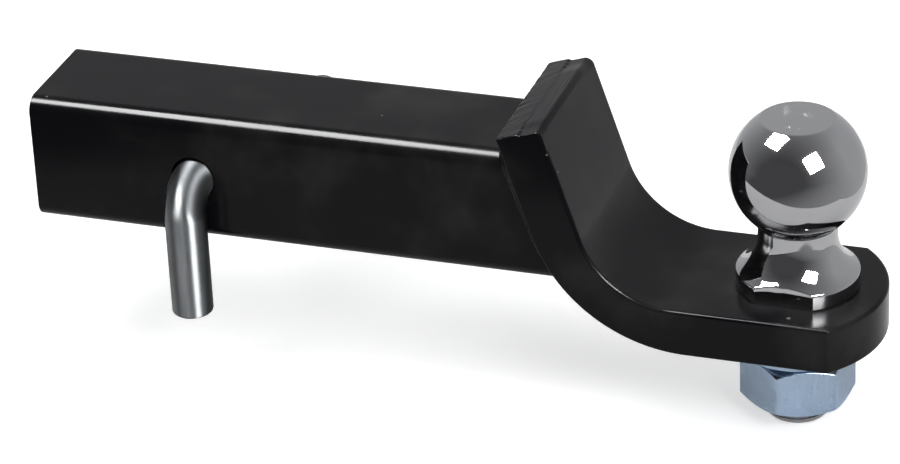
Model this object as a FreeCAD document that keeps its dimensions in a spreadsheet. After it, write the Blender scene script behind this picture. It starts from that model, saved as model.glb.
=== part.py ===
# Trailer-hitch ball mount: a square receiver shank, a bent draw plate welded to its end,
# a turned hitch ball bolted through the plate, and a bent hitch pin kept by a spring clip.
# Frame: +X runs along the shank towards the ball, +Z is up, and the origin lies on the
# shank's centre line at the hitch-pin hole. Lengths are millimetres, angles are degrees.
import FreeCAD, Part
import math
import os

import Sketcher

# Driving dimensions, each one a named cell of the sheet
DIMENSIONS = {
    # Receiver shank, a two inch square tube
    "tube_width": 50.8,
    "tube_wall": 6.35,
    "tube_corner": 6.0,
    "tube_corner_inside": 2.5,
    "tube_tail": 65.7,
    "tube_reach": 152.0,
    "tube_end_break": 0.8,
    "pin_hole": 17.5,
    # Draw plate, a flat bar bent once
    "plate_width": 66.0,
    "plate_thick": 18.0,
    "plate_edge": 1.2,
    "platform_drop": 27.1,
    "leg_lean": 18.1,
    "leg_length": 45.5,
    "leg_rollover": 3.0,
    "bend_x": 189.35,
    "bend_radius": 36.0,
    "bend_outer": 60.7,
    "nose_reach": 262.0,
    "nose_radius": 45.0,
    "nose_edge": 0.8,
    "ball_hole": 26.2,
    # Fillet weld between shank and plate
    "weld_leg": 5.5,
    "weld_crown": 4.6,
    "weld_stop": 23.0,
    # Hitch ball, turned from one bar
    "ball_x": 228.6,
    "ball_dia": 50.8,
    "ball_height": 46.45,
    "ball_flat": 27.6,
    "neck_dia": 29.6,
    "neck_fillet": 2.0,
    "flare_radius": 16.8,
    "flare_height": 21.0,
    "flange_dia": 46.2,
    "flange_break": 0.7,
    "flange_flats": 40.1,
    "flats_turn": -2.0,
    "stud_dia": 25.2,
    "stud_length": 54.3,
    "stud_break": 1.0,
    # Lock washer and nut under the plate
    "washer_bore": 25.8,
    "washer_dia": 41.6,
    "washer_thick": 6.35,
    "washer_rise": 3.85,
    "washer_ground": 0.25,
    "washer_slit": 1.6,
    "washer_turn": 140.0,
    "nut_flats": 38.1,
    "nut_height": 19.4,
    "nut_bore": 25.4,
    "nut_bevel": 30.0,
    "nut_face": 36.4,
    "nut_break": 1.0,
    "nut_turn": 23.0,
    # Hitch pin and its spring clip
    "pin_dia": 15.9,
    "pin_drop": 0.7,
    "pin_far": 56.6,
    "pin_bend": 10.0,
    "pin_leg_y": 35.2,
    "pin_leg_z": 51.0,
    "pin_break": 1.2,
    "clip_y": 48.0,
    "clip_hole": 4.2,
    "clip_tilt": 23.0,
    "clip_wire": 3.2,
    "clip_tip": 22.0,
    "clip_loop": 6.5,
    "clip_gap": 0.3,
    "clip_waist": 6.0,
    "clip_waist_angle": 40.0,
    "clip_flare": 35.0,
    "clip_tail": 4.0,
    "clip_neck_angle": 45.0,
    # How far a cutting outline runs past the metal
    "overrun": 1.0,
}

# Distance from the origin to the back of the leaning leg, measured square to it
LEG_BACK = (
    "dims.bend_x * cos(dims.leg_lean * 1 deg)"
    " + (dims.bend_radius - dims.platform_drop) * sin(dims.leg_lean * 1 deg)"
    " - dims.bend_radius - dims.plate_thick"
)

# Height of the washer's lower side, where the nut bears, measured from the plate's underside
WASHER_FOOT = "2 * dims.washer_ground - dims.washer_thick - dims.washer_rise"

# Closeness, in millimetres, within which an edge counts as lying in a plane
NEAR = 0.01

# Names for the ends and centre of a sketch element, and for the sketch's own axes
START, END, CENTRE = 1, 2, 3
ORIGIN = (-1, 1)
AXIS_X = -1
AXIS_Y = -2

doc = FreeCAD.newDocument("ball_mount")
size = DIMENSIONS.__getitem__


def make_sheet():
    """Write the driving dimensions into a sheet, one aliased cell each."""
    sheet = doc.addObject("Spreadsheet::Sheet", "dims")
    for row, (name, value) in enumerate(DIMENSIONS.items(), start=1):
        sheet.set("A%d" % row, name)
        sheet.set("B%d" % row, str(value))
        sheet.setAlias("B%d" % row, name)
    doc.recompute()


def new_body(name):
    """A body with its own label, which also names its file."""
    body = doc.addObject("PartDesign::Body", name)
    body.Label = name
    return body


def origin_plane(body, role):
    """One of the body's own origin planes."""
    return next(item for item in body.Origin.OriginFeatures if item.Role == role)


def new_sketch(body, name, role, lift=None):
    """A sketch on an origin plane, lifted off it by a sheet expression where one is given."""
    sketch = body.newObject("Sketcher::SketchObject", name)
    sketch.AttachmentSupport = [(origin_plane(body, role), "")]
    sketch.MapMode = "FlatFace"
    if lift:
        sketch.setExpression("AttachmentOffset.Base.z", lift)
        doc.recompute()
    return sketch


def line(sketch, start, end):
    """Add a line between two points of the sketch."""
    return sketch.addGeometry(Part.LineSegment(FreeCAD.Vector(*start), FreeCAD.Vector(*end)), False)


def arc(sketch, centre, radius, first, last):
    """Add an arc that runs anticlockwise from one angle to another, in degrees."""
    circle = Part.Circle(FreeCAD.Vector(*centre), FreeCAD.Vector(0, 0, 1), radius)
    return sketch.addGeometry(Part.ArcOfCircle(circle, math.radians(first), math.radians(last)), False)


def circle(sketch, radius, expression, centre=(0, 0)):
    """Add a circle whose diameter follows the sheet."""
    item = sketch.addGeometry(
        Part.Circle(FreeCAD.Vector(*centre), FreeCAD.Vector(0, 0, 1), radius), False)
    if centre == (0, 0):
        rule(sketch, "Coincident", item, CENTRE, *ORIGIN)
    bind(sketch, expression, "Diameter", item, 2 * radius)
    return item


def rule(sketch, kind, *refs):
    """Add a geometric constraint."""
    return sketch.addConstraint(Sketcher.Constraint(kind, *refs))


def bind(sketch, expression, kind, *refs):
    """Add a dimension whose value follows a sheet expression."""
    index = sketch.addConstraint(Sketcher.Constraint(kind, *refs))
    sketch.setExpression("Constraints[%d]" % index, expression)
    return index


def join_loop(sketch, *chain):
    """Tie a chain of (element, first end, last end) into a closed outline."""
    for (item, _, last), (following, first, _) in zip(chain, chain[1:] + chain[:1]):
        rule(sketch, "Coincident", item, last, following, first)


def polygon(sketch, points):
    """Add a closed outline of straight lines and return its elements."""
    items = [line(sketch, a, b) for a, b in zip(points, points[1:] + points[:1])]
    join_loop(sketch, *[(item, START, END) for item in items])
    return items


def centred_square(sketch, side, expression):
    """Add a square around the sketch's origin."""
    half = side / 2
    items = polygon(sketch, [(-half, -half), (half, -half), (half, half), (-half, half)])
    bottom, right, top, left = items
    for item in (bottom, top):
        rule(sketch, "Horizontal", item)
    for item in (right, left):
        rule(sketch, "Vertical", item)
    rule(sketch, "Symmetric", bottom, START, right, END, *ORIGIN)
    bind(sketch, expression, "DistanceX", bottom, START, bottom, END, side)
    bind(sketch, expression, "DistanceY", right, START, right, END, side)


def rounded_square(sketch, side, side_expression, corner, corner_expression):
    """Add a square around the sketch's origin, with its corners rounded."""
    half = side / 2
    inset = half - corner
    bottom = line(sketch, (-inset, -half), (inset, -half))
    right = line(sketch, (half, -inset), (half, inset))
    top = line(sketch, (inset, half), (-inset, half))
    left = line(sketch, (-half, inset), (-half, -inset))
    turns = [arc(sketch, (sign_x * inset, sign_y * inset), corner, first, first + 90)
             for sign_x, sign_y, first in ((1, -1, 270), (1, 1, 0), (-1, 1, 90), (-1, -1, 180))]
    for before, turn, after in zip((bottom, right, top, left), turns, (right, top, left, bottom)):
        rule(sketch, "Tangent", before, END, turn, START)
        rule(sketch, "Tangent", turn, END, after, START)
    for first, second in zip(turns, turns[1:]):
        rule(sketch, "Equal", first, second)
    for item in (bottom, top):
        rule(sketch, "Horizontal", item)
    for item in (right, left):
        rule(sketch, "Vertical", item)
    rule(sketch, "Symmetric", turns[1], CENTRE, turns[3], CENTRE, *ORIGIN)
    bind(sketch, corner_expression, "Radius", turns[0], corner)
    bind(sketch, side_expression, "DistanceX", left, START, right, START, side)
    bind(sketch, side_expression, "DistanceY", bottom, START, top, START, side)


def add_feature(body, kind, name, profile, **settings):
    """Add a PartDesign feature made from a sketch."""
    feature = body.newObject("PartDesign::" + kind, name)
    feature.Profile = profile
    for key, value in settings.items():
        setattr(feature, key, value)
    return feature


def cut_checked(body, feature, before):
    """Recompute a cut and make sure that it took material away."""
    doc.recompute()
    if feature.Shape.Volume >= before - NEAR:
        raise RuntimeError(feature.Name + " cut nothing")
    body.Tip = feature


def round_edges(body, base, name, keep, expression, kind="Fillet"):
    """Fillet or chamfer the edges of the base that the test keeps."""
    doc.recompute()
    names = ["Edge%d" % number for number, edge in enumerate(base.Shape.Edges, start=1) if keep(edge)]
    feature = body.newObject("PartDesign::" + kind, name)
    feature.Base = (base, names)
    feature.setExpression("Radius" if kind == "Fillet" else "Size", expression)
    body.Tip = feature
    doc.recompute()
    return feature


def lies_at(edge, axis, value):
    """True where the whole edge lies in the plane axis = value."""
    box = edge.BoundBox
    low = getattr(box, axis + "Min")
    high = getattr(box, axis + "Max")
    return abs(low - value) < NEAR and abs(high - value) < NEAR


def leg_points():
    """Corner and tangent points of the bent bar's side view, in the X-Z plane."""
    lean = math.radians(size("leg_lean"))
    normal = FreeCAD.Vector(math.cos(lean), math.sin(lean))
    along = FreeCAD.Vector(-math.sin(lean), math.cos(lean))
    top = -size("platform_drop")
    bottom = top - size("plate_thick")
    inner = FreeCAD.Vector(size("bend_x"), top + size("bend_radius"))
    front_foot = inner - normal * size("bend_radius")
    front_top = front_foot + along * size("leg_length")
    back_top = front_top - normal * size("plate_thick")
    outer_z = bottom + size("bend_outer")
    back_offset = normal.dot(back_top)
    outer_x = (back_offset + size("bend_outer") - outer_z * normal.y) / normal.x
    outer = FreeCAD.Vector(outer_x, outer_z)
    back_foot = outer - normal * size("bend_outer")
    return {
        "normal": normal, "along": along, "top": top, "bottom": bottom, "inner": inner,
        "front_foot": front_foot, "front_top": front_top, "back_top": back_top,
        "outer": outer, "back_foot": back_foot,
    }


def xy(vector):
    """A vector's first two coordinates."""
    return vector.x, vector.y


def back_curve(sketch, leg, upper_z, last=270):
    """The bar's back in side view: the leaning line, then the outside of the bend."""
    lean = size("leg_lean")
    rise = (upper_z - leg["back_foot"].y) / leg["along"].y
    upper = leg["back_foot"] + leg["along"] * rise
    back = line(sketch, xy(upper), xy(leg["back_foot"]))
    bend = arc(sketch, xy(leg["outer"]), size("bend_outer"), 180 + lean, last)
    rule(sketch, "Tangent", back, END, bend, START)
    bind(sketch, LEG_BACK, "Distance", *ORIGIN, back, leg["normal"].dot(leg["back_foot"]))
    bind(sketch, "(90 + dims.leg_lean) * 1 deg", "Angle", AXIS_X, START, back, END,
         math.radians(90 + lean))
    bind(sketch, "dims.bend_outer", "Radius", bend, size("bend_outer"))
    bind(sketch, "dims.bend_outer - dims.platform_drop - dims.plate_thick",
         "DistanceY", *ORIGIN, bend, CENTRE, leg["outer"].y)
    return back, bend


def make_shank_tube(leg):
    """Square tube with a pin hole, coped at one end to the back of the draw plate."""
    body = new_body("shank_tube")
    section = new_sketch(body, "tube_section", "YZ_Plane", "-dims.tube_tail")
    rounded_square(section, size("tube_width"), "dims.tube_width",
                   size("tube_corner"), "dims.tube_corner")
    inside = size("tube_width") - 2 * size("tube_wall")
    rounded_square(section, inside, "dims.tube_width - 2 * dims.tube_wall",
                   size("tube_corner_inside"), "dims.tube_corner_inside")
    tube = add_feature(body, "Pad", "tube_length", section)
    tube.setExpression("Length", "dims.tube_tail + dims.tube_reach")
    doc.recompute()

    hole = new_sketch(body, "pin_hole_outline", "XZ_Plane")
    circle(hole, size("pin_hole") / 2, "dims.pin_hole")
    drilled = add_feature(body, "Pocket", "pin_hole", hole, Type="ThroughAll", Midplane=True)
    cut_checked(body, drilled, tube.Shape.Volume)

    above = size("tube_width")
    beyond = size("tube_reach") + size("tube_wall")
    cope = new_sketch(body, "cope_outline", "XZ_Plane")
    back, bend = back_curve(cope, leg, above)
    upper = cope.getPoint(back, START)
    floor_line = line(cope, (leg["outer"].x, leg["bottom"]), (beyond + above, leg["bottom"]))
    end_line = line(cope, (beyond + above, leg["bottom"]), (beyond + above, above))
    top_line = line(cope, (beyond + above, above), (upper.x, above))
    rule(cope, "Tangent", bend, END, floor_line, START)
    for first, second in ((floor_line, end_line), (end_line, top_line), (top_line, back)):
        rule(cope, "Coincident", first, END, second, START)
    rule(cope, "Horizontal", floor_line)
    rule(cope, "Vertical", end_line)
    rule(cope, "Horizontal", top_line)
    bind(cope, "dims.tube_width", "DistanceY", *ORIGIN, top_line, START, above)
    bind(cope, "dims.tube_reach + dims.tube_wall + dims.tube_width", "DistanceX", *ORIGIN,
         end_line, START, beyond + above)
    coped = add_feature(body, "Pocket", "cope", cope, Type="ThroughAll", Midplane=True)
    cut_checked(body, coped, drilled.Shape.Volume)

    tail = -size("tube_tail")
    round_edges(body, coped, "open_end_break", lambda e: lies_at(e, "X", tail),
                "dims.tube_end_break", "Chamfer")
    return body


def make_draw_plate(leg):
    """Flat bar bent once, with a rounded nose and the hole for the ball's stud."""
    body = new_body("draw_plate")
    lean = size("leg_lean")
    reach = size("nose_reach")
    roll = size("leg_rollover")
    side = new_sketch(body, "bar_side_view", "XZ_Plane")
    roll_centre = leg["front_top"] - (leg["normal"] + leg["along"]) * roll
    end_stop = roll_centre + leg["along"] * roll
    front_start = roll_centre + leg["normal"] * roll

    platform = line(side, (leg["inner"].x, leg["top"]), (reach, leg["top"]))
    nose = line(side, (reach, leg["top"]), (reach, leg["bottom"]))
    underside = line(side, (reach, leg["bottom"]), (leg["outer"].x, leg["bottom"]))
    outside = arc(side, xy(leg["outer"]), size("bend_outer"), 180 + lean, 270)
    back = line(side, xy(leg["back_foot"]), xy(leg["back_top"]))
    cut_end = line(side, xy(leg["back_top"]), xy(end_stop))
    rollover = arc(side, xy(roll_centre), roll, lean, 90 + lean)
    front = line(side, xy(front_start), xy(leg["front_foot"]))
    inside = arc(side, xy(leg["inner"]), size("bend_radius"), 180 + lean, 270)
    for first, first_end, second, second_end in (
            (underside, END, outside, END), (outside, START, back, START),
            (cut_end, END, rollover, END), (rollover, START, front, START),
            (front, END, inside, START), (inside, END, platform, START)):
        rule(side, "Tangent", first, first_end, second, second_end)
    for first, second in ((platform, nose), (nose, underside), (back, cut_end)):
        rule(side, "Coincident", first, END, second, START)
    rule(side, "Horizontal", platform)
    rule(side, "Vertical", nose)
    rule(side, "Horizontal", underside)
    rule(side, "Parallel", back, front)
    rule(side, "Perpendicular", back, cut_end)
    bind(side, "(90 + dims.leg_lean) * 1 deg", "Angle", AXIS_X, START, back, START,
         math.radians(90 + lean))
    bind(side, "dims.plate_thick", "Distance", back, END, front, size("plate_thick"))
    bind(side, "dims.plate_thick", "DistanceY", nose, END, nose, START, size("plate_thick"))
    bind(side, "-dims.platform_drop", "DistanceY", *ORIGIN, platform, START, leg["top"])
    bind(side, "dims.bend_x", "DistanceX", *ORIGIN, platform, START, size("bend_x"))
    bind(side, "dims.nose_reach", "DistanceX", *ORIGIN, nose, START, reach)
    bind(side, "dims.bend_radius", "Radius", inside, size("bend_radius"))
    bind(side, "dims.bend_outer", "Radius", outside, size("bend_outer"))
    bind(side, "dims.leg_rollover", "Radius", rollover, roll)
    bind(side, "dims.leg_length - dims.leg_rollover", "Distance", front, START, front, END,
         size("leg_length") - roll)
    bar = add_feature(body, "Pad", "bent_bar", side, Midplane=True)
    bar.setExpression("Length", "dims.plate_width")

    half = size("plate_width") / 2
    rolled = round_edges(
        body, bar, "rolled_edges",
        lambda e: (lies_at(e, "Y", half) or lies_at(e, "Y", -half)) and not lies_at(e, "X", reach),
        "dims.plate_edge")

    nose_centre = reach - size("nose_radius")
    clear = half + size("plate_edge")
    sweep = math.degrees(math.asin(clear / size("nose_radius")))
    shoulder = nose_centre + math.sqrt(size("nose_radius") ** 2 - clear ** 2)
    past = reach + size("plate_edge")
    nose_cut = new_sketch(body, "nose_outline", "XY_Plane")
    round_nose = arc(nose_cut, (nose_centre, 0), size("nose_radius"), -sweep, sweep)
    far_side = line(nose_cut, (shoulder, clear), (past, clear))
    past_end = line(nose_cut, (past, clear), (past, -clear))
    near_side = line(nose_cut, (past, -clear), (shoulder, -clear))
    join_loop(nose_cut, (round_nose, START, END), (far_side, START, END), (past_end, START, END),
              (near_side, START, END))
    rule(nose_cut, "Horizontal", far_side)
    rule(nose_cut, "Vertical", past_end)
    rule(nose_cut, "Horizontal", near_side)
    rule(nose_cut, "PointOnObject", round_nose, CENTRE, AXIS_X)
    bind(nose_cut, "dims.nose_radius", "Radius", round_nose, size("nose_radius"))
    bind(nose_cut, "dims.nose_reach - dims.nose_radius", "DistanceX", *ORIGIN, round_nose, CENTRE,
         nose_centre)
    bind(nose_cut, "dims.plate_width / 2 + dims.plate_edge", "DistanceY", *ORIGIN, far_side, START,
         clear)
    bind(nose_cut, "-dims.plate_width / 2 - dims.plate_edge", "DistanceY", *ORIGIN, near_side, END,
         -clear)
    bind(nose_cut, "dims.nose_reach + dims.plate_edge", "DistanceX", *ORIGIN, past_end, START, past)
    nosed = add_feature(body, "Pocket", "round_nose", nose_cut, Type="ThroughAll", Midplane=True)
    cut_checked(body, nosed, rolled.Shape.Volume)

    hole = new_sketch(body, "ball_hole_outline", "XY_Plane")
    ring = circle(hole, size("ball_hole") / 2, "dims.ball_hole", (size("ball_x"), 0))
    rule(hole, "PointOnObject", ring, CENTRE, AXIS_X)
    bind(hole, "dims.ball_x", "DistanceX", *ORIGIN, ring, CENTRE, size("ball_x"))
    drilled = add_feature(body, "Pocket", "ball_hole", hole, Type="ThroughAll", Midplane=True)
    cut_checked(body, drilled, nosed.Shape.Volume)

    def nose_rim(edge):
        flat = lies_at(edge, "Z", leg["top"]) or lies_at(edge, "Z", leg["bottom"])
        return flat and edge.BoundBox.XMax > reach - NEAR

    round_edges(body, drilled, "nose_edges", nose_rim, "dims.nose_edge", "Chamfer")
    return body


def make_weld_bead(leg):
    """Fillet weld over the shank's top and down both sides, where it meets the plate's back."""
    body = new_body("weld_bead")
    bead = size("weld_leg")
    stop = size("weld_stop")
    top = size("tube_width") / 2 + 2 * bead
    outer = size("bend_outer")
    side = new_sketch(body, "bead_side_view", "XZ_Plane")

    def stop_angle(radius):
        return 270 - math.degrees(math.acos((stop + leg["outer"].y) / radius))

    def stop_point(radius):
        return leg["outer"].x + radius * math.cos(math.radians(stop_angle(radius))), -stop

    toe_foot = leg["back_foot"] - leg["normal"] * bead
    toe_top = toe_foot + leg["along"] * ((top - toe_foot.y) / leg["along"].y)
    back, bend = back_curve(side, leg, top, stop_angle(outer))
    lower = line(side, stop_point(outer), stop_point(outer + bead))
    toe_bend = arc(side, xy(leg["outer"]), outer + bead, 180 + size("leg_lean"), stop_angle(outer + bead))
    toe = line(side, xy(toe_foot), xy(toe_top))
    upper = line(side, xy(toe_top), xy(side.getPoint(back, START)))
    rule(side, "Tangent", toe, START, toe_bend, START)
    rule(side, "Coincident", bend, CENTRE, toe_bend, CENTRE)
    for first, first_end, second, second_end in (
            (bend, END, lower, START), (lower, END, toe_bend, END),
            (toe, END, upper, START), (upper, END, back, START)):
        rule(side, "Coincident", first, first_end, second, second_end)
    rule(side, "Parallel", back, toe)
    rule(side, "Horizontal", lower)
    rule(side, "Horizontal", upper)
    bind(side, "dims.bend_outer + dims.weld_leg", "Radius", toe_bend, outer + bead)
    bind(side, "dims.tube_width / 2 + 2 * dims.weld_leg", "DistanceY", *ORIGIN, upper, START, top)
    bind(side, "-dims.weld_stop", "DistanceY", *ORIGIN, lower, START, -stop)
    slab = add_feature(body, "Pad", "bead_slab", side, Midplane=True)
    slab.setExpression("Length", "dims.tube_width + 4 * dims.weld_leg")
    doc.recompute()

    outline = new_sketch(body, "bead_outline", "YZ_Plane")
    centred_square(outline, size("tube_width") + 6 * bead, "dims.tube_width + 6 * dims.weld_leg")
    rounded_square(outline, size("tube_width") + 2 * bead, "dims.tube_width + 2 * dims.weld_leg",
                   size("tube_corner") + bead, "dims.tube_corner + dims.weld_leg")
    trimmed = add_feature(body, "Pocket", "bead_trim", outline, Type="ThroughAll", Midplane=True)
    cut_checked(body, trimmed, slab.Shape.Volume)

    near_toe = bead / 12

    def toe_edge(edge):
        middle = edge.valueAt((edge.FirstParameter + edge.LastParameter) / 2)
        if middle.z > leg["back_foot"].y:
            depth = leg["normal"].dot(leg["back_foot"]) - leg["normal"].dot(
                FreeCAD.Vector(middle.x, middle.z))
        else:
            depth = math.hypot(middle.x - leg["outer"].x, middle.z - leg["outer"].y) - outer
        across = edge.BoundBox.ZLength < NEAR and abs(middle.z) < size("tube_width") / 2
        return abs(depth - bead) < near_toe and not across

    crowned = round_edges(body, trimmed, "bead_crown", toe_edge, "dims.weld_crown")

    opening = new_sketch(body, "shank_outline", "YZ_Plane")
    rounded_square(opening, size("tube_width"), "dims.tube_width",
                   size("tube_corner"), "dims.tube_corner")
    through = add_feature(body, "Pocket", "shank_passage", opening, Type="ThroughAll", Midplane=True)
    cut_checked(body, through, crowned.Shape.Volume)
    return body


def make_hitch_ball():
    """Ball, neck, flange and stud turned as one piece, with two wrench flats on the flange."""
    body = new_body("hitch_ball")
    ball = size("ball_dia") / 2
    neck = size("neck_dia") / 2
    flat = size("ball_flat") / 2
    flange = size("flange_dia") / 2
    stud = size("stud_dia") / 2
    height = size("ball_height")
    fillet = size("neck_fillet")
    flare = size("flare_radius")
    flare_z = size("flare_height")
    stud_end = -size("stud_length")
    stud_break = size("stud_break")
    rim_break = size("flange_break")

    crown_z = height + math.sqrt(ball ** 2 - flat ** 2)
    fillet_z = height - math.sqrt((ball + fillet) ** 2 - (neck + fillet) ** 2)
    ball_low = math.degrees(math.atan2(fillet_z - height, neck + fillet))
    ball_high = math.degrees(math.atan2(crown_z - height, flat))
    flare_end = math.degrees(math.acos((neck + flare - flange) / flare))
    rim_z = flare_z - flare * math.sin(math.radians(flare_end))

    turn = new_sketch(body, "turned_outline", "XZ_Plane")
    axis_line = line(turn, (0, crown_z), (0, stud_end))
    stud_face = line(turn, (0, stud_end), (stud - stud_break, stud_end))
    stud_bevel = line(turn, (stud - stud_break, stud_end), (stud, stud_end + stud_break))
    stud_side = line(turn, (stud, stud_end + stud_break), (stud, 0))
    seat = line(turn, (stud, 0), (flange - rim_break, 0))
    rim_bevel = line(turn, (flange - rim_break, 0), (flange, rim_break))
    rim = line(turn, (flange, rim_break), (flange, rim_z))
    bell = arc(turn, (neck + flare, flare_z), flare, 180, 180 + flare_end)
    neck_side = line(turn, (neck, flare_z), (neck, fillet_z))
    root = arc(turn, (neck + fillet, fillet_z), fillet, 180 + ball_low, 180)
    sphere = arc(turn, (0, height), ball, ball_low, ball_high)
    crown = line(turn, (flat, crown_z), (0, crown_z))
    straight = (axis_line, stud_face, stud_bevel, stud_side, seat, rim_bevel, rim)
    for first, second in zip(straight, straight[1:]):
        rule(turn, "Coincident", first, END, second, START)
    rule(turn, "Coincident", rim, END, bell, END)
    rule(turn, "Tangent", bell, START, neck_side, START)
    rule(turn, "Tangent", neck_side, END, root, END)
    rule(turn, "Tangent", root, START, sphere, START)
    rule(turn, "Coincident", sphere, END, crown, START)
    rule(turn, "Coincident", crown, END, axis_line, START)
    rule(turn, "PointOnObject", axis_line, START, AXIS_Y)
    for item in (stud_face, seat, crown):
        rule(turn, "Horizontal", item)
    for item in (axis_line, stud_side, rim, neck_side):
        rule(turn, "Vertical", item)
    rule(turn, "PointOnObject", seat, START, AXIS_X)
    rule(turn, "PointOnObject", sphere, CENTRE, AXIS_Y)
    bind(turn, "dims.ball_height", "DistanceY", *ORIGIN, sphere, CENTRE, height)
    bind(turn, "dims.ball_dia / 2", "Radius", sphere, ball)
    bind(turn, "dims.ball_flat / 2", "DistanceX", crown, END, crown, START, flat)
    bind(turn, "dims.neck_dia / 2", "DistanceX", *ORIGIN, neck_side, START, neck)
    bind(turn, "dims.neck_fillet", "Radius", root, fillet)
    bind(turn, "dims.flare_radius", "Radius", bell, flare)
    bind(turn, "dims.flare_height", "DistanceY", *ORIGIN, neck_side, START, flare_z)
    bind(turn, "dims.flange_dia / 2", "DistanceX", *ORIGIN, rim, START, flange)
    bind(turn, "dims.flange_break", "DistanceX", rim_bevel, START, rim_bevel, END, rim_break)
    bind(turn, "dims.flange_break", "DistanceY", rim_bevel, START, rim_bevel, END, rim_break)
    bind(turn, "dims.stud_dia / 2", "DistanceX", *ORIGIN, stud_side, START, stud)
    bind(turn, "-dims.stud_length", "DistanceY", *ORIGIN, stud_face, START, stud_end)
    bind(turn, "dims.stud_break", "DistanceX", stud_bevel, START, stud_bevel, END, stud_break)
    bind(turn, "dims.stud_break", "DistanceY", stud_bevel, START, stud_bevel, END, stud_break)
    turned = add_feature(body, "Revolution", "turned_ball", turn)
    turned.ReferenceAxis = (turn, ["V_Axis"])
    doc.recompute()

    half_flats = size("flange_flats") / 2
    flats = new_sketch(body, "wrench_flats_outline", "XY_Plane")
    for sign in (-1, 1):
        inner = sign * half_flats
        outer = sign * flange
        low, high = min(inner, outer), max(inner, outer)
        items = polygon(flats, [(-flange, low), (flange, low), (flange, high), (-flange, high)])
        bottom, right, top, left = items
        for item in (bottom, top):
            rule(flats, "Horizontal", item)
        for item in (right, left):
            rule(flats, "Vertical", item)
        near_edge, far_edge = (bottom, top) if sign > 0 else (top, bottom)
        prefix = "" if sign > 0 else "-"
        bind(flats, prefix + "dims.flange_flats / 2", "DistanceY", *ORIGIN, near_edge, START, inner)
        bind(flats, prefix + "dims.flange_dia / 2", "DistanceY", *ORIGIN, far_edge, START, outer)
        bind(flats, "dims.flange_dia", "DistanceX", bottom, START, bottom, END, 2 * flange)
        bind(flats, "dims.flange_dia / 2", "DistanceX", *ORIGIN, right, START, flange)
    milled = add_feature(body, "Pocket", "wrench_flats", flats, Type="Length", Reversed=True)
    milled.setExpression("Length", "dims.flare_height")
    cut_checked(body, milled, turned.Shape.Volume)
    body.setExpression("Placement.Base.x", "dims.ball_x")
    body.setExpression("Placement.Base.z", "-dims.platform_drop")
    turn_about(body, FreeCAD.Vector(0, 0, 1), "dims.flats_turn")
    return body


def turn_about(body, axis, expression):
    """Turn a body about an axis through its own origin, by a sheet expression."""
    body.Placement = FreeCAD.Placement(body.Placement.Base, FreeCAD.Rotation(axis, 1))
    body.setExpression("Placement.Rotation.Angle", expression + " * 1 deg")


def make_lock_washer():
    """Split spring washer, one left-hand coil that isn't squeezed flat yet, ground where it touches."""
    body = new_body("lock_washer")
    bore = size("washer_bore") / 2
    rim = size("washer_dia") / 2
    thick = size("washer_thick")
    ground = size("washer_ground")
    section = new_sketch(body, "washer_section", "XZ_Plane")
    bottom, outer, top, inner = polygon(
        section, [(bore, ground - thick), (rim, ground - thick), (rim, ground), (bore, ground)])
    for item in (bottom, top):
        rule(section, "Horizontal", item)
    for item in (outer, inner):
        rule(section, "Vertical", item)
    bind(section, "dims.washer_bore / 2", "DistanceX", *ORIGIN, bottom, START, bore)
    bind(section, "dims.washer_dia / 2", "DistanceX", *ORIGIN, outer, START, rim)
    bind(section, "dims.washer_ground", "DistanceY", *ORIGIN, top, START, ground)
    bind(section, "dims.washer_thick", "DistanceY", outer, START, outer, END, thick)
    coil = add_feature(body, "AdditiveHelix", "washer_coil", section)
    coil.ReferenceAxis = (section, ["V_Axis"])
    coil.Mode = "height-turns-angle"
    coil.LeftHanded = True
    coil.Reversed = True
    coil.setExpression("Height", "dims.washer_rise")
    coil.setExpression("Turns", "1 - 2 * dims.washer_slit / (pi * (dims.washer_bore + dims.washer_dia))")
    doc.recompute()

    last = coil
    for name, lift, upward in (("plate_contact", None, True), ("nut_contact", WASHER_FOOT, False)):
        outline = new_sketch(body, name + "_outline", "XY_Plane", lift)
        circle(outline, rim + size("overrun"), "dims.washer_dia + 2 * dims.overrun")
        facet = add_feature(body, "Pocket", name, outline, Type="ThroughAll", Reversed=upward)
        cut_checked(body, facet, last.Shape.Volume)
        last = facet
    body.setExpression("Placement.Base.x", "dims.ball_x")
    body.setExpression("Placement.Base.z", "-dims.platform_drop - dims.plate_thick")
    turn_about(body, FreeCAD.Vector(0, 0, 1), "dims.washer_turn")
    return body


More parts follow.
